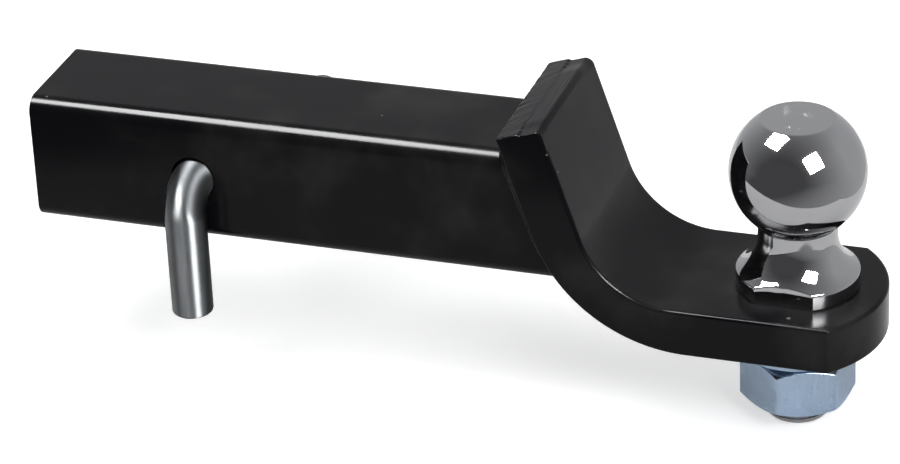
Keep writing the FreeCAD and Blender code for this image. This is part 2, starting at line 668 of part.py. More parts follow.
def make_ball_nut():
    """Hexagon nut, bevelled at both ends."""
    body = new_body("ball_nut")
    corner = size("nut_flats") / math.sqrt(3)
    height = size("nut_height")
    hexagon = new_sketch(body, "nut_hexagon", "XY_Plane")
    points = [(corner * math.cos(math.radians(60 * n)), corner * math.sin(math.radians(60 * n)))
              for n in range(6)]
    sides = polygon(hexagon, points)
    guide = hexagon.addGeometry(
        Part.Circle(FreeCAD.Vector(0, 0, 0), FreeCAD.Vector(0, 0, 1), corner), True)
    rule(hexagon, "Coincident", guide, CENTRE, *ORIGIN)
    for item in sides:
        rule(hexagon, "PointOnObject", item, START, guide)
    for first, second in zip(sides, sides[1:]):
        rule(hexagon, "Equal", first, second)
    rule(hexagon, "PointOnObject", sides[0], START, AXIS_X)
    bind(hexagon, "dims.nut_flats / sqrt(3)", "Radius", guide, corner)
    blank = add_feature(body, "Pad", "nut_blank", hexagon, Reversed=True)
    blank.setExpression("Length", "dims.nut_height")
    doc.recompute()

    face = size("nut_face") / 2
    wide = corner + size("overrun")
    drop = (wide - face) * math.tan(math.radians(size("nut_bevel")))
    bevels = new_sketch(body, "bevel_outline", "XZ_Plane")
    for level, sign in ((0, -1), (-height, 1)):
        flat, side, slope = polygon(
            bevels, [(face, level), (wide, level), (wide, level + sign * drop)])
        rule(bevels, "Horizontal", flat)
        rule(bevels, "Vertical", side)
        bind(bevels, "dims.nut_face / 2", "DistanceX", *ORIGIN, flat, START, face)
        bind(bevels, "dims.nut_flats / sqrt(3) + dims.overrun", "DistanceX", *ORIGIN, side, START, wide)
        lower, upper = (END, START) if sign < 0 else (START, END)
        bind(bevels, "(dims.nut_flats / sqrt(3) + dims.overrun - dims.nut_face / 2)"
             " * tan(dims.nut_bevel * 1 deg)", "DistanceY", side, lower, side, upper, drop)
        if level:
            bind(bevels, "-dims.nut_height", "DistanceY", *ORIGIN, flat, START, level)
        else:
            rule(bevels, "PointOnObject", flat, START, AXIS_X)
    bevelled = add_feature(body, "Groove", "nut_bevels", bevels)
    bevelled.ReferenceAxis = (bevels, ["V_Axis"])
    cut_checked(body, bevelled, blank.Shape.Volume)

    bore = new_sketch(body, "nut_bore_outline", "XY_Plane")
    circle(bore, size("nut_bore") / 2, "dims.nut_bore")
    tapped = add_feature(body, "Pocket", "nut_bore", bore, Type="ThroughAll", Midplane=True)
    cut_checked(body, tapped, bevelled.Shape.Volume)
    bore_span = size("nut_bore")

    def bore_mouth(edge):
        flat = lies_at(edge, "Z", 0) or lies_at(edge, "Z", -height)
        return flat and abs(edge.BoundBox.XLength - bore_span) < NEAR

    round_edges(body, tapped, "nut_mouths", bore_mouth, "dims.nut_break", "Chamfer")
    body.setExpression("Placement.Base.x", "dims.ball_x")
    body.setExpression("Placement.Base.z",
                       "-dims.platform_drop - dims.plate_thick + (" + WASHER_FOOT + ")")
    turn_about(body, FreeCAD.Vector(0, 0, 1), "dims.nut_turn")
    return body


def make_hitch_pin():
    """Round bar bent once, with bevelled ends and a cross hole for the clip."""
    body = new_body("hitch_pin")
    far = size("pin_far")
    bend = size("pin_bend")
    leg_y = -size("pin_leg_y")
    tip = -size("pin_leg_z")
    path = new_sketch(body, "pin_path", "YZ_Plane")
    shaft = line(path, (far, 0), (leg_y + bend, 0))
    elbow = arc(path, (leg_y + bend, -bend), bend, 90, 180)
    leg = line(path, (leg_y, -bend), (leg_y, tip))
    rule(path, "Tangent", shaft, END, elbow, START)
    rule(path, "Tangent", elbow, END, leg, START)
    rule(path, "Horizontal", shaft)
    rule(path, "Vertical", leg)
    rule(path, "PointOnObject", shaft, START, AXIS_X)
    bind(path, "dims.pin_far", "DistanceX", *ORIGIN, shaft, START, far)
    bind(path, "dims.pin_bend", "Radius", elbow, bend)
    bind(path, "-dims.pin_leg_y", "DistanceX", *ORIGIN, leg, END, leg_y)
    bind(path, "-dims.pin_leg_z", "DistanceY", *ORIGIN, leg, END, tip)
    section = new_sketch(body, "pin_section", "XZ_Plane", "-dims.pin_far")
    circle(section, size("pin_dia") / 2, "dims.pin_dia")
    bar = add_feature(body, "AdditivePipe", "bent_pin", section)
    bar.Spine = (path, ["Edge1", "Edge2", "Edge3"])
    ended = round_edges(body, bar, "pin_ends", lambda e: lies_at(e, "Y", far) or lies_at(e, "Z", tip),
                        "dims.pin_break", "Chamfer")

    cross = new_sketch(body, "clip_hole_outline", "YZ_Plane")
    cross.AttachmentOffset = FreeCAD.Placement(
        FreeCAD.Vector(0, 0, 0), FreeCAD.Rotation(FreeCAD.Vector(1, 0, 0), 1))
    cross.setExpression("AttachmentOffset.Rotation.Angle", "-dims.clip_tilt * 1 deg")
    ring = circle(cross, size("clip_hole") / 2, "dims.clip_hole", (size("clip_y"), 0))
    rule(cross, "PointOnObject", ring, CENTRE, AXIS_X)
    bind(cross, "dims.clip_y", "DistanceX", *ORIGIN, ring, CENTRE, size("clip_y"))
    drilled = add_feature(body, "Pocket", "clip_hole", cross, Type="ThroughAll", Midplane=True)
    cut_checked(body, drilled, ended.Shape.Volume)
    body.setExpression("Placement.Base.z", "-dims.pin_drop")
    return body


def make_pin_clip():
    """Spring wire clip: a straight leg through the pin, a pull loop and a leg bowed round the pin."""
    body = new_body("pin_clip")
    loop = size("clip_loop")
    waist = size("clip_waist")
    bow = size("pin_dia") / 2 + size("clip_wire") / 2 + size("clip_gap")
    bow_start = -size("clip_waist_angle")
    flare = size("clip_flare")
    tail = size("clip_tail")
    turn = math.radians(bow_start)
    waist_centre = FreeCAD.Vector((bow + waist) * math.cos(turn), (bow + waist) * math.sin(turn))
    neck_angle = size("clip_neck_angle")
    slope = math.radians(neck_angle)
    waist_top = waist_centre + FreeCAD.Vector(math.cos(slope), math.sin(slope)) * waist
    loop_foot_z = -loop - loop * math.sin(slope)
    loop_foot_x = waist_top.x + (waist_top.y - loop_foot_z)
    loop_x = loop_foot_x + loop * math.cos(slope)
    flare_centre = FreeCAD.Vector(-tail, -bow - waist)
    flare_end = math.radians(90 + flare)
    flare_foot = flare_centre + FreeCAD.Vector(math.cos(flare_end), math.sin(flare_end)) * waist
    heading = math.radians(180 + flare)
    tail_tip = flare_foot + FreeCAD.Vector(math.cos(heading), math.sin(heading)) * tail

    path = new_sketch(body, "clip_path", "XZ_Plane")
    straight = line(path, (-size("clip_tip"), 0), (loop_x, 0))
    eye = arc(path, (loop_x, -loop), loop, neck_angle - 180, 90)
    neck = line(path, (loop_foot_x, loop_foot_z), xy(waist_top))
    dip = arc(path, xy(waist_centre), waist, neck_angle, 180 + bow_start)
    hug = arc(path, (0, 0), bow, -90, bow_start)
    run = line(path, (0, -bow), (-tail, -bow))
    kick = arc(path, xy(flare_centre), waist, 90, 90 + flare)
    tip = line(path, xy(flare_foot), xy(tail_tip))
    for first, first_end, second, second_end in (
            (straight, END, eye, END), (eye, START, neck, START), (neck, END, dip, START),
            (dip, END, hug, END), (hug, START, run, START), (run, END, kick, START),
            (kick, END, tip, START)):
        rule(path, "Tangent", first, first_end, second, second_end)
    rule(path, "Horizontal", straight)
    rule(path, "Horizontal", run)
    rule(path, "PointOnObject", straight, START, AXIS_X)
    rule(path, "Coincident", hug, CENTRE, *ORIGIN)
    bind(path, "-dims.clip_tip", "DistanceX", *ORIGIN, straight, START, -size("clip_tip"))
    bind(path, "dims.clip_loop", "Radius", eye, loop)
    bind(path, "dims.clip_waist", "Radius", dip, waist)
    bind(path, "dims.pin_dia / 2 + dims.clip_wire / 2 + dims.clip_gap", "Radius", hug, bow)
    bind(path, "-(dims.pin_dia / 2 + dims.clip_wire / 2 + dims.clip_gap + dims.clip_waist)"
         " * sin(dims.clip_waist_angle * 1 deg)", "DistanceY", *ORIGIN, dip, CENTRE, waist_centre.y)
    bind(path, "(90 + dims.clip_neck_angle) * 1 deg", "Angle", AXIS_X, START, neck, START,
         math.radians(90 + neck_angle))
    bind(path, "dims.clip_tail", "DistanceX", run, END, run, START, tail)
    bind(path, "dims.clip_waist", "Radius", kick, waist)
    bind(path, "dims.clip_tail", "Distance", tip, START, tip, END, tail)
    bind(path, "(180 + dims.clip_flare) * 1 deg", "Angle", AXIS_X, START, tip, START,
         math.radians(180 + flare))
    section = new_sketch(body, "clip_section", "YZ_Plane", "-dims.clip_tip")
    circle(section, size("clip_wire") / 2, "dims.clip_wire")
    wire = add_feature(body, "AdditivePipe", "bent_wire", section)
    wire.Spine = (path, ["Edge%d" % number for number in range(1, 9)])
    doc.recompute()
    body.setExpression("Placement.Base.y", "dims.clip_y")
    body.setExpression("Placement.Base.z", "-dims.pin_drop")
    turn_about(body, FreeCAD.Vector(0, -1, 0), "dims.clip_tilt")
    return body


def check_document(bodies):
    """Stop where anything failed to build, before a file is written."""
    failed = [item.Name for item in doc.Objects if {"Invalid", "Error"} & set(item.State)]
    if failed:
        raise RuntimeError("failed to build: " + ", ".join(failed))
    for body in bodies:
        if body.Shape.isNull() or not body.Shape.isValid():
            raise RuntimeError(body.Label + " has no valid shape")
        if len(body.Shape.Solids) != 1:
            raise RuntimeError(body.Label + " is not one solid")


def main():
    make_sheet()
    leg = leg_points()
    bodies = [
        make_shank_tube(leg),
        make_draw_plate(leg),
        make_weld_bead(leg),
        make_hitch_ball(),
        make_lock_washer(),
        make_ball_nut(),
        make_hitch_pin(),
        make_pin_clip(),
    ]
    doc.recompute()
    check_document(bodies)
    os.makedirs("parts", exist_ok=True)
    for body in bodies:
        body.Shape.exportStep("parts/%s.step" % body.Label)


main()
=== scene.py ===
import math

import bmesh
import bpy
from bpy.props import FloatProperty, FloatVectorProperty, IntProperty, PointerProperty
from mathutils import Matrix, Vector, noise


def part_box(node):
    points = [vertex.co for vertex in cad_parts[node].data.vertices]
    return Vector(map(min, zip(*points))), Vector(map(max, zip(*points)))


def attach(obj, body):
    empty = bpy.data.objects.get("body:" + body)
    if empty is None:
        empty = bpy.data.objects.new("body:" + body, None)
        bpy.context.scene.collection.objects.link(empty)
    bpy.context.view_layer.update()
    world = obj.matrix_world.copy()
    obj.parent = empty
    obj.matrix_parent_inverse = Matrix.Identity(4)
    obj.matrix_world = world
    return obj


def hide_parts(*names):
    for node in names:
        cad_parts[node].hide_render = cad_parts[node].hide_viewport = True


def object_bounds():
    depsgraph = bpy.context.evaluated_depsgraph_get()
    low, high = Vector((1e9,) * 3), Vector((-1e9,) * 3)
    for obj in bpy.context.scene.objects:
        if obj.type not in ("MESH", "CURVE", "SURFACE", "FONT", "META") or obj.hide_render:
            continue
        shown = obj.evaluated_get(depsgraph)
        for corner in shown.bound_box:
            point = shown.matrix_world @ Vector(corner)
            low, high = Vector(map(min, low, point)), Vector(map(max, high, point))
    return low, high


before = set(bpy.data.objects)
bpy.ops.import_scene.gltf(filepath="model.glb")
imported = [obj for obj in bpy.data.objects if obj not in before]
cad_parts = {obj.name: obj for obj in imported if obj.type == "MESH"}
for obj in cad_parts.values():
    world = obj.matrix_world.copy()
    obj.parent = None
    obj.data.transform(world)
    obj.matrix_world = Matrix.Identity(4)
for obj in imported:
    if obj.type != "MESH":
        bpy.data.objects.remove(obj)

bl_info = {
    "name": "Trailer Hitch Ball Mount",
    "version": (1, 0, 0),
    "blender": (4, 5, 0),
    "location": "3D View > Sidebar > Ball Mount",
    "description": "Models a receiver-hitch ball mount with its pin and clip, and lights it",
    "category": "Add Mesh",
}

CAD_BOX = [list(corner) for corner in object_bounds()]
AXIS_X = Vector((1, 0, 0))
AXIS_Y = Vector((0, 1, 0))
AXIS_Z = Vector((0, 0, 1))
SAME_PLACE = 0.000001


# Sizes and colours

def length(name, description, default):
    """A length that a user may change."""
    return FloatProperty(name=name, description=description, default=default, precision=5,
                         unit="LENGTH")


def turn(name, description, degrees):
    """An angle that a user may change."""
    return FloatProperty(name=name, description=description, default=math.radians(degrees),
                         subtype="ANGLE")


def colour(name, description, default):
    """A colour that a user may change."""
    return FloatVectorProperty(name=name, description=description, default=default, size=3,
                               min=0, max=1, subtype="COLOR")


class ShankSizes(bpy.types.PropertyGroup):
    """Sizes of the square receiver tube."""
    width: length("Width", "Outside width of the square tube", 0.0508)
    wall: length("Wall", "Thickness of the tube's wall", 0.00635)
    corner: length("Corner", "Outside corner radius", 0.006)
    inner_corner: length("Inner corner", "Inside corner radius", 0.0025)
    edge: length("Edge", "Rounding of the cut edges", 0.0007)
    hole: length("Pin hole", "Diameter of the hitch-pin hole", 0.0175)
    corner_steps: IntProperty(name="Corner steps", description="Faces round each corner",
                              default=12, min=3)


class PlateSizes(bpy.types.PropertyGroup):
    """Sizes of the bent draw plate."""
    width: length("Width", "Width of the flat bar", 0.066)
    thick: length("Thickness", "Thickness of the flat bar", 0.018)
    drop: length("Drop", "Depth of the platform's top under the shank's centre line", 0.0271)
    lean: turn("Lean", "Lean of the upright leg", 18.1)
    leg: length("Leg", "Length of the leg's front face, above the bend", 0.0456)
    bend_x: length("Bend start", "Where the platform runs into the bend", 0.18935)
    bend_inside: length("Bend inside", "Radius inside the bend", 0.036)
    bend_outside: length("Bend outside", "Radius outside the bend", 0.0607)
    reach: length("Reach", "Distance from the pin hole to the nose", 0.262)
    nose: length("Nose", "Radius of the rounded nose in plan", 0.045)
    edge: length("Upper edge", "Rounding of the bar's upper and front edges", 0.0014)
    lower_edge: length("Lower edge", "Rounding of the bar's lower and back edges", 0.0007)
    hole: length("Ball hole", "Diameter of the hole for the ball's stud", 0.0262)
    rollover: length("Rollover", "Depth of the rounding where the shear first pressed in", 0.0020)
    rollover_drop: length("Rollover drop", "Height of that rounding", 0.0028)
    shear_step: length("Shear step", "Height of the torn part over the sheared part", 0.0008)


class WeldSizes(bpy.types.PropertyGroup):
    """Sizes of the weld bead between shank and plate."""
    leg: length("Leg", "Leg of the bead at the top of the shank", 0.0053)
    foot: length("Foot", "Leg of the bead where it ends, low on the sides", 0.0040)
    stop: length("Stop", "How far under the centre line the bead ends", 0.0232)
    pitch: length("Pitch", "Distance between the bead's ripples", 0.0030)
    ripple: length("Ripple", "Height of the bead's ripples", 0.00022)


class BallSizes(bpy.types.PropertyGroup):
    """Sizes of the turned hitch ball."""
    x: length("Place", "Distance from the pin hole to the ball's axis", 0.2286)
    dia: length("Ball", "Diameter of the ball", 0.0508)
    height: length("Height", "Height of the ball's centre over the plate", 0.04645)
    flat: length("Flat", "Diameter of the flat on top", 0.0276)
    neck: length("Neck", "Diameter of the neck", 0.0296)
    neck_fillet: length("Neck fillet", "Rounding between ball and neck", 0.002)
    flare: length("Flare", "Radius of the bell under the neck", 0.0168)
    flare_height: length("Flare height", "Height over the plate where the bell begins", 0.0210)
    flange: length("Flange", "Diameter of the flange", 0.0462)
    flats: length("Flats", "Distance across the wrench flats", 0.0401)
    flats_turn: turn("Flats turn", "Turn of the wrench flats", -2)
    stud: length("Stud", "Outside diameter of the threaded stud", 0.0252)
    stud_length: length("Stud length", "Length of the stud under the flange", 0.0543)
    pitch: length("Thread pitch", "Pitch of the stud's thread", 0.00181)
    thread: length("Thread depth", "Depth of the stud's thread", 0.00105)


class FixingSizes(bpy.types.PropertyGroup):
    """Sizes of the lock washer and the nut."""
    washer_bore: length("Washer bore", "Bore of the lock washer", 0.0258)
    washer: length("Washer", "Diameter of the lock washer", 0.0416)
    washer_thick: length("Washer thickness", "Thickness of the lock washer", 0.00635)
    washer_rise: length("Washer rise", "How far the coil of the washer climbs", 0.00385)
    washer_ground: length("Washer contact", "What is ground off the coil where it touches", 0.00025)
    washer_slit: length("Washer slit", "Width of the washer's split", 0.0016)
    washer_turn: turn("Washer turn", "Where the washer's split lies", 140)
    nut: length("Nut", "Distance across the nut's flats", 0.0381)
    nut_height: length("Nut height", "Height of the nut", 0.0194)
    nut_bore: length("Nut bore", "Bore of the nut", 0.0254)
    nut_face: length("Nut face", "Diameter of the flat inside the nut's bevels", 0.0364)
    nut_bevel: turn("Nut bevel", "Slope of the nut's bevels", 30)
    nut_turn: turn("Nut turn", "Turn of the nut", 23)


class PinSizes(bpy.types.PropertyGroup):
    """Sizes of the hitch pin and its spring clip."""
    dia: length("Pin", "Diameter of the pin", 0.0159)
    drop: length("Drop", "How far the pin lies under the hole's centre", 0.0007)
    far: length("Far end", "Distance from the centre line to the pin's far end", 0.0566)
    bend: length("Bend", "Radius of the pin's bend at its centre", 0.010)
    leg_y: length("Leg place", "Distance from the centre line to the bent leg", 0.0352)
    leg_z: length("Leg end", "Depth of the bent leg's end", 0.051)
    bevel: length("End bevel", "Bevel of the pin's ends", 0.0012)
    clip_y: length("Clip place", "Distance from the centre line to the clip", 0.048)
    clip_hole: length("Clip hole", "Diameter of the hole for the clip", 0.0042)
    clip_tilt: turn("Clip tilt", "Tilt of the clip", 23)
    wire: length("Wire", "Diameter of the clip's wire", 0.0032)
    tip: length("Tip", "How far the clip's straight leg passes the pin's axis", 0.022)
    loop: length("Loop", "Radius of the pull loop at the wire's centre", 0.0065)
    gap: length("Gap", "Gap between pin and clip", 0.0003)
    waist: length("Waist", "Radius of the clip's lesser bends", 0.006)
    waist_angle: turn("Waist angle", "Where the bowed leg leaves the pin", 40)
    neck_angle: turn("Neck angle", "Slope of the wire under the loop", 45)
    flare: turn("Flare", "How far the bowed leg's tail turns away", 35)
    tail: length("Tail", "Length of the bowed leg's tail", 0.004)


class Finishes(bpy.types.PropertyGroup):
    """Colours of the finishes and of the stage."""
    paint: colour("Paint", "Black paint on shank, plate and weld", (0.0042, 0.0042, 0.0052))
    dust: colour("Dust", "Dust and small chips on the paint", (0.30, 0.29, 0.28))
    rust: colour("Rust", "Small rust spots", (0.10, 0.045, 0.015))
    chrome: colour("Chrome", "Chrome of the ball", (0.43, 0.43, 0.44))
    zinc: colour("Zinc", "Blue-white zinc of the nut and washer", (0.36, 0.455, 0.58))
    steel: colour("Steel", "Bright steel of pin and clip", (0.19, 0.20, 0.205))
    floor: colour("Floor", "Floor of the stage", (0.80, 0.80, 0.80))


def section(kind, name):
    """One group of settings."""
    return PointerProperty(type=kind, name=name, description=kind.__doc__)


class BallMountSettings(bpy.types.PropertyGroup):
    """All sizes and colours of the ball mount."""
    shank: section(ShankSizes, "Shank")
    plate: section(PlateSizes, "Plate")
    weld: section(WeldSizes, "Weld")
    ball: section(BallSizes, "Ball")
    fixing: section(FixingSizes, "Fixings")
    pin: section(PinSizes, "Pin")
    finish: section(Finishes, "Finishes")


# Modelling tools

def deselect():
    """Leave edit mode with nothing selected."""
    if bpy.context.mode != "OBJECT":
        bpy.ops.object.mode_set(mode="OBJECT")
    bpy.ops.object.select_all(action="DESELECT")


def make_active(item):
    """Select one object and nothing else."""
    deselect()
    item.select_set(True)
    bpy.context.view_layer.objects.active = item


def edit(item):
    """Open an object in edit mode with all of it selected."""
    make_active(item)
    bpy.ops.object.mode_set(mode="EDIT")
    bpy.ops.mesh.select_mode(type="VERT")
    bpy.ops.mesh.select_all(action="SELECT")


def close():
    """Leave edit mode and return the object."""
    item = bpy.context.edit_object
    bpy.ops.object.mode_set(mode="OBJECT")
    return item


def new_piece():
    """The primitive just added, with its place moved into its mesh."""
    bpy.ops.object.transform_apply(location=True, rotation=True, scale=True)
    return bpy.context.object


def pick(kind, test):
    """Select the VERT or EDGE items of the open mesh that pass a test."""
    bpy.ops.mesh.select_mode(type=kind)
    bpy.ops.mesh.select_all(action="DESELECT")
    data = bpy.context.edit_object.data
    mesh = bmesh.from_edit_mesh(data)
    mesh.normal_update()
    found = [item for item in {"VERT": mesh.verts, "EDGE": mesh.edges}[kind] if test(item)]
    for item in found:
        item.select_set(True)
    bmesh.update_edit_mesh(data)
    if not found:
        raise RuntimeError("nothing to select on " + bpy.context.edit_object.name)


def extrude(step):
    """Extrude what is selected along a vector."""
    bpy.ops.mesh.extrude_region_move(TRANSFORM_OT_translate={"value": step})


def sweep(centre, axis, angle, steps):
    """Spin what is selected about an axis, by the right-hand rule."""
    bpy.ops.mesh.spin(steps=steps, angle=-angle, center=centre, axis=axis)


def merge():
    """Select all of the open mesh and merge its doubles."""
    bpy.ops.mesh.select_all(action="SELECT")
    bpy.ops.mesh.remove_doubles(threshold=0.000002)


def outward():
    """Merge doubles of the open mesh and turn its faces outwards."""
    merge()
    bpy.ops.mesh.normals_make_consistent(inside=False)


def trace(start, axis, moves):
    """Draw an outline by extruding one point: on to a point, or round (centre, angle, steps)."""
    deselect()
    bpy.ops.mesh.primitive_plane_add(size=0.001, location=start)
    edit(new_piece())
    bpy.ops.mesh.merge(type="CENTER")
    here = Vector(start)
    for move in moves:
        if isinstance(move[0], Vector):
            centre, angle, steps = move
            sweep(centre, axis, angle, steps)
            here = centre + Matrix.Rotation(angle, 3, axis) @ (here - centre)
        else:
            target = Vector(move)
            bpy.ops.mesh.extrude_vertices_move(TRANSFORM_OT_translate={"value": target - here})
            here = target


def fill_outline(step):
    """Fill the open outline and extrude it into a solid."""
    merge()
    bpy.ops.mesh.edge_face_add()
    extrude(step)
    outward()
    return close()


def lathe(centre, steps):
    """Turn the open outline about an upright axis into a solid."""
    bpy.ops.mesh.select_all(action="SELECT")
    sweep(centre, AXIS_Z, math.tau, steps)
    outward()
    return close()


def cap(item):
    """Close the open ends of a piece."""
    edit(item)
    pick("EDGE", lambda edge: edge.is_boundary)
    bpy.ops.mesh.fill_holes(sides=0)
    outward()
    close()


def bend_bar(start, heading, radius, sides, moves):
    """Draw a round bar: a length straight on, or a bend as (centre, axis, angle, steps)."""
    deselect()
    facing = heading.to_track_quat("Z", "Y").to_euler()
    bpy.ops.mesh.primitive_circle_add(vertices=sides, radius=radius, fill_type="NGON",
                                      location=start, rotation=facing)
    edit(new_piece())
    ahead = heading.normalized()
    for move in moves:
        if isinstance(move, float):
            extrude(ahead * move)
        else:
            centre, axis, angle, steps = move
            sweep(centre, axis, angle, steps)
            ahead = Matrix.Rotation(angle, 3, axis) @ ahead
    outward()
    return close()


def modify(item, kind, **settings):
    """Add a modifier and apply it."""
    make_active(item)
    modifier = item.modifiers.new(kind.title(), kind)
    for key, value in settings.items():
        setattr(modifier, key, value)
    bpy.ops.object.modifier_apply(modifier=modifier.name)


def combine(item, tool, operation):
    """Cut or cross an object with a tool, and throw the tool away."""
    modify(item, "BOOLEAN", object=tool, operation=operation, solver="EXACT")
    bpy.data.objects.remove(tool)


def soften(item, width, steps, degrees=35):
    """Round the edges that are sharper than an angle."""
    modify(item, "BEVEL", width=width, segments=steps, limit_method="ANGLE",
           angle_limit=math.radians(degrees), use_clamp_overlap=True)


def smooth_shading(item, degrees):
    """Smooth shading, but not over edges that are sharper than an angle."""
    make_active(item)
    bpy.ops.object.shade_smooth_by_angle(angle=math.radians(degrees))


def flatten_shading(item, degrees=40):
    """Smooth shading that leaves large faces flat."""
    smooth_shading(item, degrees)
    modify(item, "WEIGHTED_NORMAL", keep_sharp=True, weight=80)


def drill(centre, axis, radius, depth, sides=96):
    """A round cutter along an axis."""
    deselect()
    facing = axis.to_track_quat("Z", "Y").to_euler()
    bpy.ops.mesh.primitive_cylinder_add(vertices=sides, radius=radius, depth=depth,
                                        location=centre, rotation=facing)
    return new_piece()


def block(centre, size, rotation=(0, 0, 0)):
    """A square cutter."""
    deselect()
    bpy.ops.mesh.primitive_cube_add(size=1, location=centre, rotation=rotation, scale=size)
    return new_piece()


def keep(item, name, finish, body, node=None):
    """Name a finished piece, give it its finish and let it ride on its body."""
    make_active(item)
    bpy.ops.object.transform_apply(location=True, rotation=True, scale=True)
    item.name = name
    item.data.name = name
    item.data.materials.clear()
    item.data.materials.append(finish_of(finish))
    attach(item, body)
    if node:
        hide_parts(node)


# Shape of the bent plate, which the shank's end and the weld follow

def plate_lines(plate):
    """Tangent points of the bent bar's side view, all in the plane Y = 0."""
    normal = Vector((math.cos(plate.lean), 0, math.sin(plate.lean)))
    along = Vector((-math.sin(plate.lean), 0, math.cos(plate.lean)))
    top = -plate.drop
    bottom = top - plate.thick
    inner = Vector((plate.bend_x, 0, top + plate.bend_inside))
    front_foot = inner - normal * plate.bend_inside
    front_top = front_foot + along * plate.leg
    back_top = front_top - normal * plate.thick
    outer_z = bottom + plate.bend_outside
    outer_x = (normal.dot(back_top) + plate.bend_outside - outer_z * normal.z) / normal.x
    outer = Vector((outer_x, 0, outer_z))
    return {"normal": normal, "along": along, "top": top, "bottom": bottom, "inner": inner,
            "front_foot": front_foot, "front_top": front_top, "back_top": back_top, "outer": outer,
            "back_foot": outer - normal * plate.bend_outside}


def plate_back_x(plate, lines, z):
    """Where the plate's back lies at a height."""
    normal, foot = lines["normal"], lines["back_foot"]
    if z > foot.z:
        return (normal.dot(foot) - normal.z * z) / normal.x
    rise = z - lines["outer"].z
    return lines["outer"].x - math.sqrt(plate.bend_outside ** 2 - rise ** 2)


# Finishes

class Nodes:
    """Adds and wires nodes in one tree."""

    def __init__(self, tree):
        self.tree = tree

    def add(self, kind, **settings):
        """Add a node. The inputs setting sets or wires its sockets."""
        node = self.tree.nodes.new("ShaderNode" + kind)
        sockets = settings.pop("inputs", {})
        for key, value in settings.items():
            setattr(node, key, value)
        for key, value in sockets.items():
            self.feed(node, key, value)
        return node

    def feed(self, node, key, value):
        """Set or wire one input of a node."""
        socket = node.inputs[key]
        if isinstance(value, bpy.types.NodeSocket):
            self.tree.links.new(value, socket)
        else:
            socket.default_value = value

    def place(self):
        """The piece's own coordinates."""
        return self.add("TexCoord").outputs["Object"]

    def split(self, vector):
        """The X, Y and Z of a vector."""
        return self.add("SeparateXYZ", inputs={0: vector}).outputs

    def math(self, operation, first, second=0.0, third=0.0, clamp=False):
        """A Math node's result."""
        node = self.add("Math", operation=operation, use_clamp=clamp)
        for index, value in enumerate((first, second, third)):
            self.feed(node, index, value)
        return node.outputs[0]

    def plus(self, first, second, clamp=False):
        """The sum of two values."""
        return self.math("ADD", first, second, clamp=clamp)

    def less(self, first, second):
        """What is left of a value."""
        return self.math("SUBTRACT", first, second)

    def times(self, first, second):
        """The product of two values."""
        return self.math("MULTIPLY", first, second)

    def most(self, first, second):
        """The larger of two values."""
        return self.math("MAXIMUM", first, second)

    def apart(self, first, second):
        """The distance between two places."""
        node = self.add("VectorMath", operation="DISTANCE", inputs={0: first, 1: second})
        return node.outputs["Value"]

    def noise(self, vector, scale, detail=2.0, roughness=0.5, distortion=0.0):
        """A Noise Texture's value."""
        return self.add("TexNoise", inputs={
            "Vector": vector, "Scale": scale, "Detail": detail, "Roughness": roughness,
            "Distortion": distortion}).outputs[0]

    def cells(self, vector, scale):
        """A Voronoi Texture's outputs."""
        return self.add("TexVoronoi", inputs={
            "Vector": vector, "Scale": scale, "Randomness": 1.0}).outputs

    def span(self, value, low, high, to_low=0.0, to_high=1.0, slope="SMOOTHSTEP"):
        """A value moved from one range to another and held there."""
        return self.add("MapRange", interpolation_type=slope, inputs={
            "Value": value, "From Min": low, "From Max": high,
            "To Min": to_low, "To Max": to_high}).outputs[0]

    def blend(self, factor, first, second):
        """Two colours mixed by a factor."""
        node = self.add("Mix", data_type="RGBA")
        for index, value in ((0, factor), (6, first), (7, second)):
            self.feed(node, index, value)
        return node.outputs[2]

    def specks(self, vector, scale, size, share):
        """A mask of round specks in a share of the cells."""
        cells = self.cells(vector, scale)
        lot = self.add("SeparateColor", inputs={"Color": cells["Color"]}).outputs[0]
        chosen = self.math("LESS_THAN", lot, share)
        spot = self.math("LESS_THAN", cells["Distance"], self.times(lot, size / share))
        return self.times(chosen, spot)


def opaque(rgb):
    """A colour with full alpha."""
    return (*rgb, 1.0)


def empty_nodes(owner):
    """The nodes of a new material or world, with nothing in them yet."""
    owner.use_nodes = True
    owner.node_tree.nodes.clear()
    return Nodes(owner.node_tree)


def start_group(name, inputs):
    """The nodes and the inputs of a new group that gives a colour, a roughness and a height."""
    tree = bpy.data.node_groups.new(name, "ShaderNodeTree")
    for label, kind in inputs.items():
        tree.interface.new_socket(label, in_out="INPUT", socket_type="NodeSocket" + kind)
    for label, kind in (("Colour", "Color"), ("Roughness", "Float"), ("Height", "Float")):
        tree.interface.new_socket(label, in_out="OUTPUT", socket_type="NodeSocket" + kind)
    return Nodes(tree), tree.nodes.new("NodeGroupInput").outputs


def end_group(n, body, rough, height):
    """Wire the results of a group and return its tree."""
    out = n.tree.nodes.new("NodeGroupOutput")
    for label, value in (("Colour", body), ("Roughness", rough), ("Height", height)):
        n.feed(out, label, value)
    return n.tree


